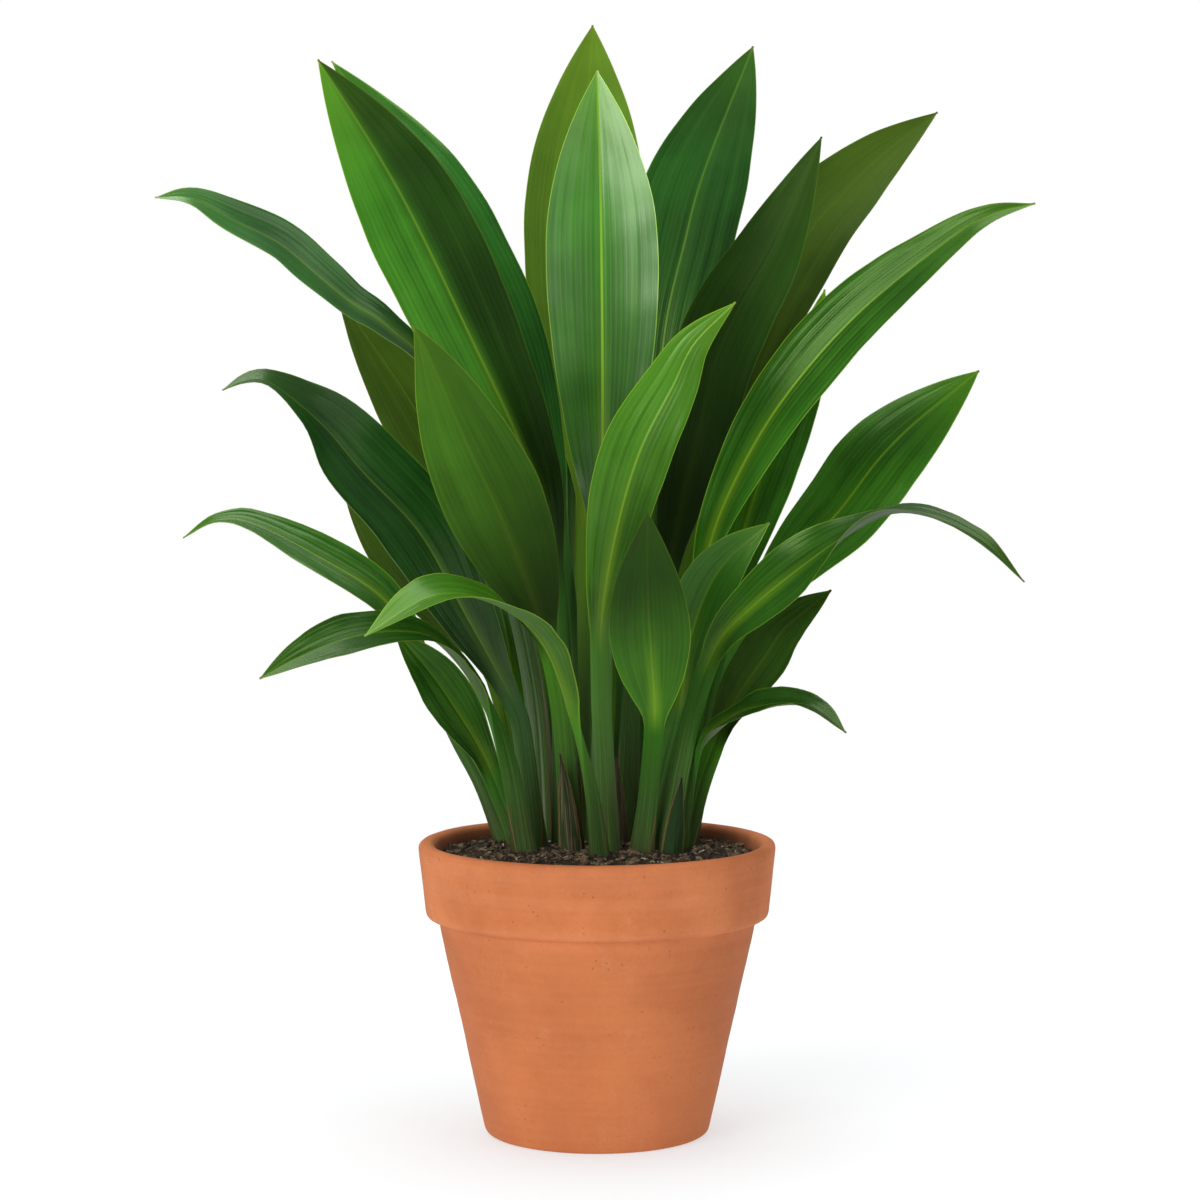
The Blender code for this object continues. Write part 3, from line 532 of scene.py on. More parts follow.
def soil_material(name, dark, light, scale):
    made, tree, shader = new_material(name, 0.9)
    place = object_place(tree)
    lumps = cloud(tree, place, scale, 5.0, 0.65)
    fine = cloud(tree, place, scale * 7, 3.0, 0.6)
    colour = dye(tree, fade(tree, lumps, 0.38, 0.66), dark, light)
    colour = dye(tree, fade(tree, fine, 0.45, 0.75, 0.0, 0.6), colour, light)
    fill(tree, shader, Base_Color=colour, Specular_IOR_Level=0.3,
         Roughness=fade(tree, lumps, 0.3, 0.7, 0.75, 0.97))
    bump(tree, shader, times_plus(tree, fine, 0.5, lumps), MM, 0.9)
    return made


def vein_group():
    """Long streaks and fine parallel veins that run with the leaf, from its UV map."""
    group, given, out = new_group(
        "leaf_veins", [("Seed", "Float", 0.0), ("Veins Across", "Float", 20.0)],
        [("Streaks", "Float"), ("Fibres", "Float"), ("Veins", "Float")])
    along, across = unwrapped(group)
    fineness = times(group, given["Veins Across"], 1 / 20)
    sheet = filled(group, "CombineXYZ", X=along, Y=times(group, across, fineness), Z=given["Seed"])[0]
    drift = cloud(group, stretched(group, sheet, (3.0, 9.0, 1.0)), 1.0)
    turns = times(group, times(group, across, given["Veins Across"]), 2 * math.pi)
    angle = times_plus(group, drift, 3.0, turns)
    fill(group, out,
         Streaks=cloud(group, stretched(group, sheet, (2.2, 13.0, 1.0)), 1.0),
         Fibres=cloud(group, stretched(group, sheet, (5.0, 80.0, 1.0)), 1.0, 2.0, 0.6),
         Veins=fade(group, figure(group, "SINE", angle), 0.2, 1.0))
    return group


def blade_colour(tree, given, lines, patches, reach, marked):
    """The blade's greens, with its veins, midrib, margins, underside and dry tip."""
    streaks, fibres, rib = lines["Streaks"], lines["Fibres"], given["Rib"]
    midrib = attribute(tree, "from_midrib")
    tone = times_plus(tree, figure(tree, "SUBTRACT", streaks, 0.5), marked, 0.5)
    tone = times_plus(tree, tone, 0.45, times(tree, patches, 0.55))
    fine = times_plus(tree, figure(tree, "SUBTRACT", fibres, 0.5), marked, 0.5)
    colour = dye(tree, fade(tree, tone, 0.36, 0.64), given["Deep"], given["Light"])
    ribbed = times(tree, fade(tree, midrib, 0.40, 0.95, 1.0, 0.0),
                   fade(tree, reach, 0.1, 0.95, 1.0, 0.35))
    for share, shade in (
            (fade(tree, fine, 0.5, 0.8, 0.0, 0.18), given["Light"]),
            (fade(tree, fine, 0.2, 0.45, 0.16, 0.0), given["Deep"]),
            (times(tree, times(tree, lines["Veins"], marked), 0.07), rib),
            (times(tree, fade(tree, midrib, 0.5, 6.0, 0.45, 0.0),
                   fade(tree, reach, 0.0, 0.55, 1.0, 0.0)), rib),
            (fade(tree, reach, 0.7, 1.0, 0.0, 0.13), rib),
            (times(tree, ribbed, given["Rib Share"]), rib),
            (fade(tree, attribute(tree, "from_margin"), 0.15, 0.6, 0.75, 0.0), rib)):
        colour = dye(tree, share, colour, shade)
    back = dye(tree, fade(tree, fibres, 0.3, 0.75, 0.25, 0.75), given["Back"], colour)
    colour = dye(tree, times(tree, attribute(tree, "underside"), 0.5), colour, back)
    return dye(tree, fade(tree, reach, 0.985, 1.0, 0.0, 0.5), colour, TIP_BROWN)


def blade_tone(tree, given, reach, across):
    """How light the blade is: its own tone, with painted light and shade along its length and on each of its
    halves.
    """
    # Painted shade towards the blade's foot, painted light towards its tip, and one half painted lighter than
    # the other
    shade = fade(tree, reach, 0.06, 0.72, given["Foot Tone"], given["Tip Tone"])
    return times(tree, shade, times_plus(
        tree, fade(tree, across, 0.35, 0.65, -1.0, 1.0), given["Half Tone"], 1.0))


def stalk_colour(tree, given, lines, patches, reach, across):
    """The stalk's greens and the browns of its foot, with painted shade at its foot's margins, and where a
    thin skin laps over it.
    """
    stem = dye(tree, fade(tree, lines["Fibres"], 0.35, 0.7), STALK_DARK, STALK_LIGHT)
    foot = fade(tree, reach, -1.0, -0.55, 1.0, 0.0)
    from_side = figure(tree, "ABSOLUTE", figure(tree, "SUBTRACT", across, given["Side"]))
    past = figure(tree, "SUBTRACT", from_side, times_plus(tree, foot, -0.22, 0.96))
    lapped = times(tree, fade(tree, past, -0.012, 0.012), foot)
    seam = times(tree, fade(tree, figure(tree, "ABSOLUTE", past), 0.008, 0.03, 1.0, 0.0),
                 fade(tree, foot, 0.02, 0.2))
    for share, shade in (
            (fade(tree, lines["Streaks"], 0.5, 0.75, 0.0, 0.35), STALK_GREY),
            (fade(tree, reach, -0.75, 0.0, 0.0, 0.85), given["Light"]),
            (times(tree, foot, fade(tree, patches, 0.48, 0.66, 0.0, 0.55)), FOOT_BROWN),
            (times(tree, lapped, 0.6), FOOT_BROWN),
            # The foot's margins darker: partly their own brown, partly painted shade of the rounded stalk
            (times(tree, fade(tree, off_middle(tree, across), 0.45, 1.0, 0.0, 0.7), foot), STALK_EDGE),
            (times(tree, seam, 0.95), SEAM_BROWN)):
        stem = dye(tree, share, stem, shade)
    return stem, lapped


def skin_group(veins):
    """A leaf's colour, roughness and relief, from its foot to its tip."""
    colours = ("Deep", "Light", "Rib", "Back")
    numbers = ("Rib Share", "Tip Tone", "Foot Tone", "Half Tone", "Veins Across", "Side", "Seed")
    group, given, out = new_group(
        "leaf_skin",
        [(label, "Color", (0, 0, 0, 1)) for label in colours] + [(label, "Float", 0.0) for label in numbers],
        [("Color", "Color"), ("Roughness", "Float"), ("Height", "Float")])
    lines = use_group(group, veins, Seed=given["Seed"], Veins_Across=given["Veins Across"])
    reach = attribute(group, "reach")
    across = unwrapped(group)[1]
    patches = cloud(group, object_place(group), 17.0, 3.0)
    stalk = fade(group, reach, -0.14, 0.07, 1.0, 0.0)
    marked = fade(group, reach, 0.55, 0.92, 1.0, 0.1)
    blade = add(group, "VectorMath", operation="SCALE")
    fill(group, blade.inputs, Vector=blade_colour(group, given, lines, patches, reach, marked),
         Scale=blade_tone(group, given, reach, across))
    stem, lapped = stalk_colour(group, given, lines, patches, reach, across)
    rough = times_plus(group, lines["Streaks"], 0.22, 0.19)
    rough = times_plus(group, attribute(group, "underside"), 0.22, rough)
    height = times_plus(group, lines["Veins"], 0.05, times(group, lines["Fibres"], 0.09))
    height = times(group, times_plus(group, lines["Streaks"], 0.25, height), marked)
    fill(group, out, Color=dye(group, stalk, blade.outputs[0], stem),
         Roughness=times_plus(group, stalk, 0.32, rough),
         Height=times_plus(group, lapped, -0.35, height))
    return group


def leaf_material(name, green, width, number, skin):
    made, tree, shader = new_material(name + "_skin", 0.35)
    deep, light, rib, back = GREENS[green]
    tip_tone, foot_tone, rib_share, painted_half_light, wax = LOOKS.get(name, PLAIN_LOOKS)
    # The tip, foot and half tones paint light and shade into the blade's colour
    surface = use_group(
        tree, skin, Deep=deep, Light=light, Rib=rib, Back=back, Rib_Share=rib_share, Tip_Tone=tip_tone,
        Foot_Tone=foot_tone, Half_Tone=painted_half_light, Veins_Across=VEINS_PER_CM * width,
        Side=float(number % 2), Seed=number * 1.7)
    fill(tree, shader, Base_Color=surface["Color"], Roughness=surface["Roughness"],
         Specular_IOR_Level=BACK_SHINE if name in TURNED_OVER else LEAF_SHINE,
         Specular_Tint=LEAF_SHEEN, Coat_Weight=wax, Coat_Roughness=0.3)
    bump(tree, shader, surface["Height"], MM, 1.0)
    return made


def husk_material(name, fresh, veins):
    """A dry scale leaf, still green by the share fresh."""
    made, tree, shader = new_material(name, 0.7)
    lines = use_group(tree, veins)
    fibres, streaks = lines["Fibres"], lines["Streaks"]
    along, across = unwrapped(tree)
    colour = dye(tree, fade(tree, fibres, 0.35, 0.68), HUSK_DARK, HUSK_LIGHT)
    colour = dye(tree, fade(tree, streaks, 0.45, 0.7, 0.0, 0.7), colour, HUSK_PALE)
    colour = dye(tree, fade(tree, along, 0.0, 0.5, 0.55, 0.0), colour, FOOT_BROWN)
    green = dye(tree, fibres, STALK_DARK, HUSK_GREEN)
    kept = fade(tree, streaks, 0.25 + 0.6 * fresh, 0.45 + 0.6 * fresh, 1.0, 0.15)
    colour = dye(tree, kept, colour, green)
    colour = dye(tree, fade(tree, off_middle(tree, across), 0.82, 0.97, 0.0, 0.8), colour, SEAM_BROWN)
    fill(tree, shader, Base_Color=colour, Roughness=fade(tree, fibres, 0.3, 0.7, 0.6, 0.85),
         Specular_IOR_Level=0.2)
    bump(tree, shader, fibres, 0.3 * MM, 1.0)
    return made


def floor_material():
    made, tree, shader = new_material("pale_floor", 0.9)
    fill(tree, shader, Base_Color=FLOOR_WHITE, Emission_Color=(1, 1, 1, 1), Emission_Strength=FLOOR_GLOW,
         Specular_IOR_Level=0.0)
    return made


# ---- Shape helpers ----

def start(build, **settings):
    """Adds a primitive with nothing else selected, and returns it."""
    bpy.ops.object.select_all(action="DESELECT")
    build(**settings)
    return bpy.context.object


def select(objects):
    bpy.ops.object.select_all(action="DESELECT")
    for obj in objects:
        obj.select_set(True)
    bpy.context.view_layer.objects.active = objects[0]


def edit_all():
    bpy.ops.object.mode_set(mode="EDIT")
    bpy.ops.mesh.select_all(action="SELECT")


def finish_edit():
    """Turns all the faces outwards and leaves edit mode."""
    bpy.ops.mesh.select_all(action="SELECT")
    bpy.ops.mesh.normals_make_consistent(inside=False)
    bpy.ops.object.mode_set(mode="OBJECT")


def new_object(name, data):
    made = bpy.data.objects.new(name, data)
    bpy.context.scene.collection.objects.link(made)
    return made


def apply_all(obj):
    bpy.context.view_layer.objects.active = obj
    for modifier in list(obj.modifiers):
        bpy.ops.object.modifier_apply(modifier=modifier.name)


def finish_piece(obj, name, material, slot, *nodes):
    """Names a finished piece, gives it its material, hangs it on the root body and hides the model's parts
    that it stands for.
    """
    obj.name = name
    obj.data.name = name
    obj.data.materials.clear()
    obj.data.materials.append(material)
    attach(obj, "root")
    if nodes:
        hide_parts(*nodes)


def smooth(obj, angle):
    select([obj])
    bpy.ops.object.shade_smooth_by_angle(angle=math.radians(angle))


def wander(x, y, z):
    """A smooth random height, about -1 to 1."""
    return noise.noise(Vector((x, y, z)))


def ridge(distance, reach):
    """1 on a line, falling off to 0 beside it."""
    return math.exp(-(distance / reach) ** 2)


def ease(t):
    return t * t * (3 - 2 * t)


# ---- Pot and soil ----

def rounded(corner, before, after, radius, points=6):
    corner, before, after = Vector(corner), Vector(before), Vector(after)
    first = corner + (before - corner).normalized() * radius
    last = corner + (after - corner).normalized() * radius
    made = []
    for i in range(points + 1):
        t = i / points
        made.append((1 - t) ** 2 * first + 2 * t * (1 - t) * corner + t ** 2 * last)
    return made


def wall_radius(height):
    return BASE_RADIUS + (BODY_TOP_RADIUS - BASE_RADIUS) / BAND_FOOT * height


def pot_profile():
    """The pot's outline as (radius, height), from the drainage hole out and round to it again."""
    corners = [
        ((DRAIN_RADIUS, 0.0), 0.001), ((BASE_RADIUS, 0.0), 0.004), ((BODY_TOP_RADIUS, BAND_FOOT), 0.0022),
        ((BAND_FOOT_RADIUS, BAND_FOOT), 0.0042), ((RIM_RADIUS, POT_HEIGHT), 0.0046),
        ((RIM_RADIUS - WALL, POT_HEIGHT), 0.0044), ((wall_radius(FLOOR) - WALL, FLOOR), 0.006),
        ((DRAIN_RADIUS, FLOOR), 0.001)]
    outline = []
    for i, (corner, radius) in enumerate(corners):
        outline += rounded(corner, corners[i - 1][0], corners[(i + 1) % len(corners)][0], radius)
    spaced = []
    for a, b in zip(outline, outline[1:] + outline[:1]):
        steps = max(1, round((b - a).length / RING_SPACING))
        spaced += [a.lerp(b, k / steps) for k in range(steps)]
    return spaced


def build_pot(material):
    """The outline turned round ring by ring, then made a little uneven, as clay is."""
    profile = pot_profile()
    pot = start(bpy.ops.mesh.primitive_circle_add, vertices=POT_SIDES, radius=profile[0].x,
                fill_type="NOTHING")
    edit_all()
    bpy.ops.transform.translate(value=(0, 0, profile[0].y))
    for a, b in zip(profile, profile[1:] + profile[:1]):
        bpy.ops.mesh.extrude_edges_move(TRANSFORM_OT_translate={"value": (0, 0, b.y - a.y)})
        share = b.x / a.x
        bpy.ops.transform.resize(value=(share, share, 1), center_override=(0, 0, b.y))
    bpy.ops.mesh.select_all(action="SELECT")
    bpy.ops.mesh.remove_doubles(threshold=0.00002)
    finish_edit()
    for vertex in pot.data.vertices:
        x, y, z = vertex.co
        out = Vector((x, y, 0)).normalized()
        turning = wander(out.x * 0.8, out.y * 0.8, z * 170) * 0.00010
        knock = noise.noise(vertex.co * 60) * 0.00022 + noise.noise(vertex.co * 24) * 0.0003
        vertex.co += out * (turning + knock)
        if z > POT_HEIGHT - 0.002:
            vertex.co.z += wander(x * 18, y * 18, 3.0) * 0.00035
    smooth(pot, 40)
    finish_piece(pot, "terracotta_pot", material, "terracotta", "pot")


def soil_height(x, y):
    r = math.hypot(x, y) / SOIL_RADIUS
    rise = SOIL_CROWN * math.cos(min(r, 1.0) * math.pi / 2)
    at = Vector((x, y, 0))
    lumps = noise.noise(at * 55) * 0.0012 + noise.noise(at * 170) * 0.0012
    return SOIL_EDGE_HEIGHT + rise + lumps + noise.noise(at * 420) * 0.0009


def build_soil(material):
    """A grid drawn out to a disc, given its lumps, with a skirt and a flat underside below."""
    soil = start(bpy.ops.mesh.primitive_grid_add, x_subdivisions=SOIL_CELLS,
                 y_subdivisions=SOIL_CELLS, size=2)
    for vertex in soil.data.vertices:
        a, b = vertex.co.x, vertex.co.y
        x = SOIL_RADIUS * a * math.sqrt(1 - b * b / 2)
        y = SOIL_RADIUS * b * math.sqrt(1 - a * a / 2)
        vertex.co = (x, y, soil_height(x, y))
    edit_all()
    bpy.ops.mesh.region_to_loop()
    drop = SOIL_EDGE_HEIGHT - FLOOR - 0.004
    bottom = (wall_radius(FLOOR) - WALL - 0.0006) / SOIL_RADIUS
    bpy.ops.mesh.extrude_edges_move(TRANSFORM_OT_translate={"value": (0, 0, -drop)})
    bpy.ops.transform.resize(value=(bottom, bottom, 0), center_override=(0, 0, FLOOR + 0.0005))
    bpy.ops.mesh.edge_face_add()
    finish_edit()
    smooth(soil, 55)
    finish_piece(soil, "potting_soil_bed", material, "potting_soil", "soil")


def crumb_models():
    """A few soil crumbs, each about 2 mm across."""
    models = []
    for seed in range(5):
        crumb = start(bpy.ops.mesh.primitive_ico_sphere_add, subdivisions=2, radius=MM)
        for vertex in crumb.data.vertices:
            lump = noise.noise(vertex.co * 900.0 + Vector((seed * 7.3, 0, 0)))
            vertex.co += vertex.co.normalized() * CRUMB_LUMP * lump
            vertex.co.z *= 0.75
        models.append(crumb)
    return models


def chip_models(length, width, thick):
    """A few split chips with uneven sides."""
    models = []
    for seed in range(5):
        chip = start(bpy.ops.mesh.primitive_cube_add, size=2 * MM)
        edit_all()
        bpy.ops.transform.resize(value=(length, width, thick), center_override=(0, 0, 0))
        bpy.ops.mesh.subdivide(number_cuts=2)
        bpy.ops.object.mode_set(mode="OBJECT")
        for vertex in chip.data.vertices:
            x, y, z = vertex.co / MM
            taper = 1 - 0.35 * (x / length) ** 2
            bend = 0.25 * math.sin(x * 0.9 + seed)
            jag = noise.noise_vector(Vector((x * 1.3, y * 1.6, z * 2 + seed * 5))) * 0.35
            vertex.co = Vector((x + jag.x, y * taper + jag.y * width, z + bend + jag.z * thick)) * MM
        models.append(chip)
    return models


def scatter(name, models, count, material, smallest, largest, seed, tilt):
    """Copies of the models lying on the soil between the stalks, joined as one piece."""
    chance = random.Random(seed)
    copies = []
    while len(copies) < count:
        angle = chance.uniform(0, 2 * math.pi)
        radius = SOIL_RADIUS * BITS_REACH * math.sqrt(chance.uniform(0.0, 1.0))
        x, y = radius * math.cos(angle), radius * math.sin(angle)
        scale = chance.uniform(smallest, largest)
        turn = Euler((chance.uniform(-tilt, tilt), chance.uniform(-tilt, tilt), chance.uniform(0, 6.3)))
        pick = models[chance.randrange(len(models))]
        if any((x - fx) ** 2 + (y - fy) ** 2 < FOOT_CLEAR ** 2 for fx, fy in FEET):
            continue
        copy = pick.copy()
        copy.data = pick.data.copy()
        bpy.context.scene.collection.objects.link(copy)
        place = Vector((x, y, soil_height(x, y) + BITS_LIFT))
        copy.matrix_world = Matrix.LocRotScale(place, turn, (scale, scale, scale))
        copies.append(copy)
    select(copies)
    bpy.ops.object.join()
    joined = bpy.context.object
    bpy.ops.object.transform_apply(location=True, rotation=True, scale=True)
    for model in models:
        bpy.data.objects.remove(model, do_unlink=True)
    smooth(joined, 45)
    finish_piece(joined, name, material, "potting_soil")


# ---- Leaves and scale leaves ----

def smooth_route(route, spacing):
    """A Catmull-Rom curve through a route in centimetres, read at even distances in metres."""
    points = [Vector(point) * CM for point in route]
    ends = [2 * points[0] - points[1]] + points + [2 * points[-1] - points[-2]]
    dense = []
    for a, b, c, d in zip(ends, ends[1:], ends[2:], ends[3:]):
        for k in range(ROUTE_STEPS):
            t = k / ROUTE_STEPS
            dense.append(0.5 * (2 * b + (c - a) * t + (2 * a - 5 * b + 4 * c - d) * t ** 2
                                + (3 * b - 3 * c + d - a) * t ** 3))
    dense.append(points[-1])
    run = [0.0]
    for a, b in zip(dense, dense[1:]):
        run.append(run[-1] + (b - a).length)
    count = round(run[-1] / spacing)
    even = []
    at = 0
    for k in range(count + 1):
        wanted = run[-1] * k / count
        while at < len(run) - 2 and run[at + 1] < wanted:
            at += 1
        share = (wanted - run[at]) / (run[at + 1] - run[at])
        even.append(dense[at].lerp(dense[at + 1], min(max(share, 0.0), 1.0)))
    return even


def route_length(points):
    return sum((b - a).length for a, b in zip(points, points[1:]))


def directions(points):
    steps = [(b - a).normalized() for a, b in zip(points, points[1:])]
    turns = [(a + b).normalized() for a, b in zip(steps, steps[1:])]
    return [steps[0]] + turns + [steps[-1]]


def blend(faces, s):
    """The way that a leaf's upper face looks, from its foot (s = 0) to its tip (s = 1)."""
    at = s * (len(faces) - 1)
    low = min(int(at), len(faces) - 2)
    return Vector(faces[low]).lerp(Vector(faces[low + 1]), ease(at - low))


def guide_curve(name, points, faces):
    """A poly curve along the midrib, tilted so that a blank laid on it turns its +Z side to faces."""
    data = bpy.data.curves.new(name, "CURVE")
    data.dimensions = "3D"
    data.twist_mode = "MINIMUM"
    spline = data.splines.new("POLY")
    spline.points.add(len(points) - 1)
    ways = directions(points)
    carried = ways[0].to_track_quat("-Z", "Y")
    tilt = 0.0
    for i, (point, way) in enumerate(zip(points, ways)):
        if i:
            bend = ways[i - 1].cross(way)
            if bend.length > 1e-9:
                carried = Quaternion(bend, ways[i - 1].angle(way)) @ carried
        up = carried @ Vector((0, 1, 0))
        wanted = blend(faces, i / (len(points) - 1))
        wanted = (wanted - wanted.dot(way) * way).normalized()
        angle = math.atan2(up.cross(wanted).dot(way), up.dot(wanted))
        tilt = angle + 2 * math.pi * round((tilt - angle) / (2 * math.pi))
        spline.points[i].co = (*point, 1.0)
        spline.points[i].tilt = tilt
    return new_object(name, data)


def flat_blank(count, across):
    """A flat double sheet, its upper skin first and its lower skin after."""
    blank = start(bpy.ops.mesh.primitive_grid_add, x_subdivisions=count, y_subdivisions=across, size=2)
    solid = blank.modifiers.new("Thickness", "SOLIDIFY")
    solid.thickness = 0.1
    solid.offset = -1.0
    apply_all(blank)
    return blank, len(blank.data.vertices) // 2


def lay_along(blank, name, points, faces):
    guide = guide_curve(name + "_guide", points, faces)
    bend = blank.modifiers.new("Midrib", "CURVE")
    bend.object = guide
    bend.deform_axis = "POS_X"
    apply_all(blank)
    bpy.data.objects.remove(guide, do_unlink=True)


def left_of(t, fade_rate):
    """1 at t = 0, down to 0 at the fade's own rate."""
    return max(0.0, 1 - fade_rate * t)


def leaf_section(s, width, blade_from, broadest, fold):
    """Half width, channel depth and thickness of a leaf, s of the way from its foot to its tip."""
    if s <= blade_from:
        flare = left_of(s / blade_from, FLARE_FADE) ** 1.5
        half = (STALK_WIDTH + (FOOT_WIDTH - STALK_WIDTH) * flare) / 2
        thickness = STALK_THICKNESS + (FOOT_THICKNESS - STALK_THICKNESS) * flare
        return half, STALK_CHANNEL + (FOOT_CHANNEL - STALK_CHANNEL) * flare, thickness
    t = (s - blade_from) / (1 - blade_from)
    if t < broadest:
        shape = math.sin(math.pi / 2 * t / broadest) ** BLADE_BASE_POWER
    else:
        shape = 1 - ((t - broadest) / (1 - broadest)) ** BLADE_TIP_POWER
    stalk = left_of(t, STALK_FADE)
    half = max(math.hypot(shape * width, STALK_WIDTH * stalk), TIP_WIDTH) / 2
    channel = fold + (STALK_CHANNEL - fold) * left_of(t, CHANNEL_FADE)
    return half, channel, BLADE_THICKNESS + (STALK_THICKNESS - BLADE_THICKNESS) * stalk ** 2


def splayed_half(t, half, channel, thickness):
    """The half width once the channel has splayed the stalk's sides, t along the blade."""
    if t == 0:
        return half + thickness * math.sin(math.atan(CHANNEL_CURVE * channel))
    stalk = left_of(t, STALK_FADE)
    return math.hypot(half, (STALK_WIDTH / 2 + STALK_THICKNESS * SPLAY * stalk) * stalk)


def stalk_share(s, blade_from):
    """1 on the round stalk, fading to 0 where the blade has opened."""
    return 1 - ease(min(max((s / blade_from - 0.80) / 0.38, 0.0), 1.0))


def blade_skins(along, across, t, grown, half, channel, thickness, offset, turned_over):
    """The heights of the open blade's upper and lower skin: folded, waved, rippled and ribbed."""
    side = abs(across)
    edge = 5.0 if across > 0 else -5.0
    wave = MARGIN_WAVE * side ** 2 * wander(along * 9, edge, offset + 9)
    ripple = RIPPLE * side * wander(along * 26, across * 2.2, offset + 20)
    pleat = PLEAT * math.sin(min(1.0, side * 1.6) * math.pi / 2) * wander(
        along * 2.5, across * 9.5, offset + 40)
    groove = -GROOVE * ridge(side * half, GROOVE_REACH)
    keel = KEEL * ridge(side * half, KEEL_REACH) * (1 - 0.7 * t)
    if turned_over:
        groove, keel = keel, -groove
    body = (thickness - BLADE_THICKNESS) * ridge(side * half, BODY_REACH)
    top = half * channel * side ** CHANNEL_CURVE + grown * (wave + ripple + pleat + groove)
    return top, top - BLADE_THICKNESS * (1 - 0.4 * side) - body - grown * keel


def stalk_skins(along, across, half, thickness, offset):
    """The heights of the round stalk's upper and lower skin, with a furrow down the upper one."""
    bulge = max(0.0, 1 - across * across)
    furrow = FURROW * ridge(abs(across) * half, FURROW_REACH)
    lumpy = 1 + 0.10 * wander(along * 20, across * 2, offset)
    top = 0.24 * half * bulge ** 0.8 * lumpy - furrow + STALK_EDGE_HALF
    return top, -thickness * bulge ** 0.6 * lumpy - STALK_EDGE_HALF


def build_leaf(name, spec, number, material):
    """A flat double sheet given its stalk and blade, then bent along its route."""
    width, blade_from, broadest, faces, green, route = spec
    points = smooth_route(route, STATION_SPACING)
    length = route_length(points)
    leaf, upper = flat_blank(len(points) - 1, ACROSS)
    offset = number * 3.7
    turned_over = name in TURNED_OVER
    fold = FOLDS.get(name, BLADE_FOLD)
    marks = {"reach": [], "from_midrib": [], "from_margin": [], "underside": []}
    for index, vertex in enumerate(leaf.data.vertices):
        along = 1 - (0.5 - vertex.co.x / 2) ** TIP_CROWDING
        across = vertex.co.y
        t = max(0.0, (along - blade_from) / (1 - blade_from))
        half, channel, thickness = leaf_section(along, width * CM, blade_from, broadest, fold)
        half = splayed_half(t, half, channel, thickness)
        grown = min(1.0, t * 5) * min(1.0, (1 - t) * 6)
        skin = 0 if index < upper else 1
        opened = blade_skins(along, across, t, grown, half, channel, thickness, offset, turned_over)[skin]
        rolled = stalk_skins(along, across, half, thickness, offset)[skin]
        share = stalk_share(along, blade_from)
        margin = wander(along * 16, 5.0 if across > 0 else -5.0, offset)
        vertex.co = (along * length, across * (half * (1 + 0.02 * margin * grown)),
                     share * rolled + (1 - share) * opened)
        stem = along / blade_from - 1
        marks["reach"].append(t if stem > 0 else stem)
        marks["from_midrib"].append(abs(across) * half / MM)
        marks["from_margin"].append((1 - abs(across)) * half / MM)
        marks["underside"].append(float((skin == 0) == turned_over))
    for label, values in marks.items():
        leaf.data.attributes.new(label, "FLOAT", "POINT").data.foreach_set("value", values)
    lay_along(leaf, name, points, faces)
    smooth(leaf, 50)
    finish_piece(leaf, name.replace("leaf_", "leaf_blade_"), material, green + "_leaf", name)


def build_husk(name, face, route, seed, material):
    """A thin dry scale with a torn upper edge."""
    points = smooth_route(route, SHEATH_SPACING)
    length = route_length(points)
    husk, upper = flat_blank(len(points) - 1, SHEATH_ACROSS)
    for index, vertex in enumerate(husk.data.vertices):
        along = (vertex.co.x + 1) / 2
        across = vertex.co.y
        half = max(SHEATH_WIDTH * (1 - along ** SHEATH_TAPER), TIP_WIDTH) / 2
        torn = wander(along * 22, 4.0 if across > 0 else -4.0, seed) * SHEATH_TEAR * along
        curl = half * SHEATH_CHANNEL * abs(across) ** CHANNEL_CURVE
        curl += SHEATH_CREASE * wander(along * 6, across * 7, seed + 3)
        if index >= upper:
            curl -= SHEATH_THICKNESS
        vertex.co = (along * length, across * half * (1 + torn), curl)
    lay_along(husk, name, points, [face, face])
    smooth(husk, 50)
    finish_piece(husk, name.replace("sheath_", "dry_husk_"), material, "dry_sheath", name)


# ---- Stage ----

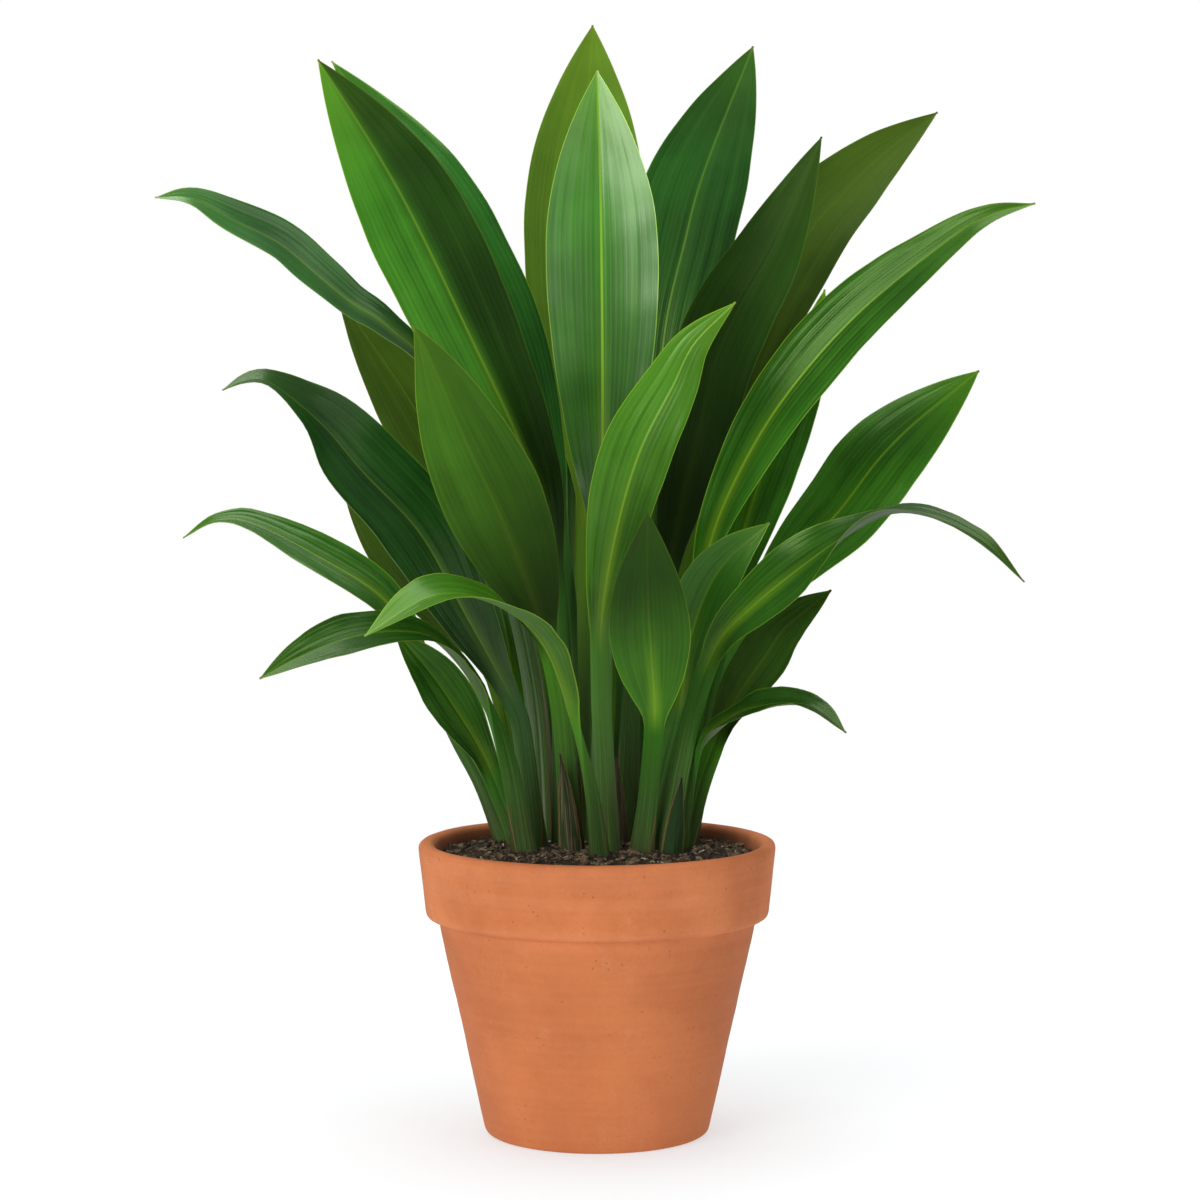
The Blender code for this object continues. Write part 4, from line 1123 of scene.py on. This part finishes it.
def build_stage():
    floor = start(bpy.ops.mesh.primitive_circle_add, vertices=96, radius=FLOOR_RADIUS,
                  fill_type="NGON")
    floor.name = "floor"
    floor.data.materials.append(floor_material())
    for name, aim, strength, softness in SUNS:
        lamp = bpy.data.lights.new(name, "SUN")
        lamp.energy = strength
        lamp.angle = math.radians(softness)
        new_object(name, lamp).rotation_euler = Vector(aim).to_track_quat("-Z", "Y").to_euler()
    world = bpy.data.worlds.new("white_studio")
    bpy.context.scene.world = world
    world.use_nodes = True
    tree = world.node_tree
    seen = add(tree, "LightPath").outputs["Is Camera Ray"]
    fill(tree, tree.nodes["Background"].inputs, Color=(1, 1, 1, 1),
         Strength=fade(tree, seen, 0.0, 1.0, AMBIENT, 1.0))


def build_camera():
    data = bpy.data.cameras.new("front_camera")
    data.lens = CAMERA_LENS
    data.sensor_width = CAMERA_SENSOR
    camera = new_object("front_camera", data)
    camera.location = CAMERA_PLACE
    camera.rotation_euler = (math.radians(90 - CAMERA_PITCH), 0, 0)
    bpy.context.scene.camera = camera
    bpy.context.scene.view_settings.view_transform = "Standard"


build_camera()
build_stage()
veins = vein_group()
skin = skin_group(veins)
build_pot(clay_material(grain_group()))
build_soil(soil_material("potting_mix", SOIL_DARK, SOIL_LIGHT, 260.0))
scatter("soil_crumbs", crumb_models(), CRUMBS, soil_material("crumb_earth", SOIL_DARK, CRUMB_LIGHT, 700.0),
        smallest=0.6, largest=2.3, seed=11, tilt=1.5)
scatter("bark_chips", chip_models(2.2, 0.9, 0.45), BARK_CHIPS,
        soil_material("bark", BARK_DARK, BARK_LIGHT, 500.0),
        smallest=0.7, largest=1.9, seed=23, tilt=0.5)
scatter("pale_slivers", chip_models(1.6, 0.32, 0.22), PALE_SLIVERS,
        soil_material("pale_wood", SLIVER_DARK, SLIVER_LIGHT, 500.0),
        smallest=0.7, largest=1.7, seed=31, tilt=0.4)
for number, (name, spec) in enumerate(LEAVES.items()):
    build_leaf(name, spec, number, leaf_material(name, spec[4], spec[0], number, skin))
for number, (name, (face, route)) in enumerate(SHEATHS.items()):
    build_husk(name, face, route, number * 5.1, husk_material(name + "_husk", HUSK_FRESH[name], veins))
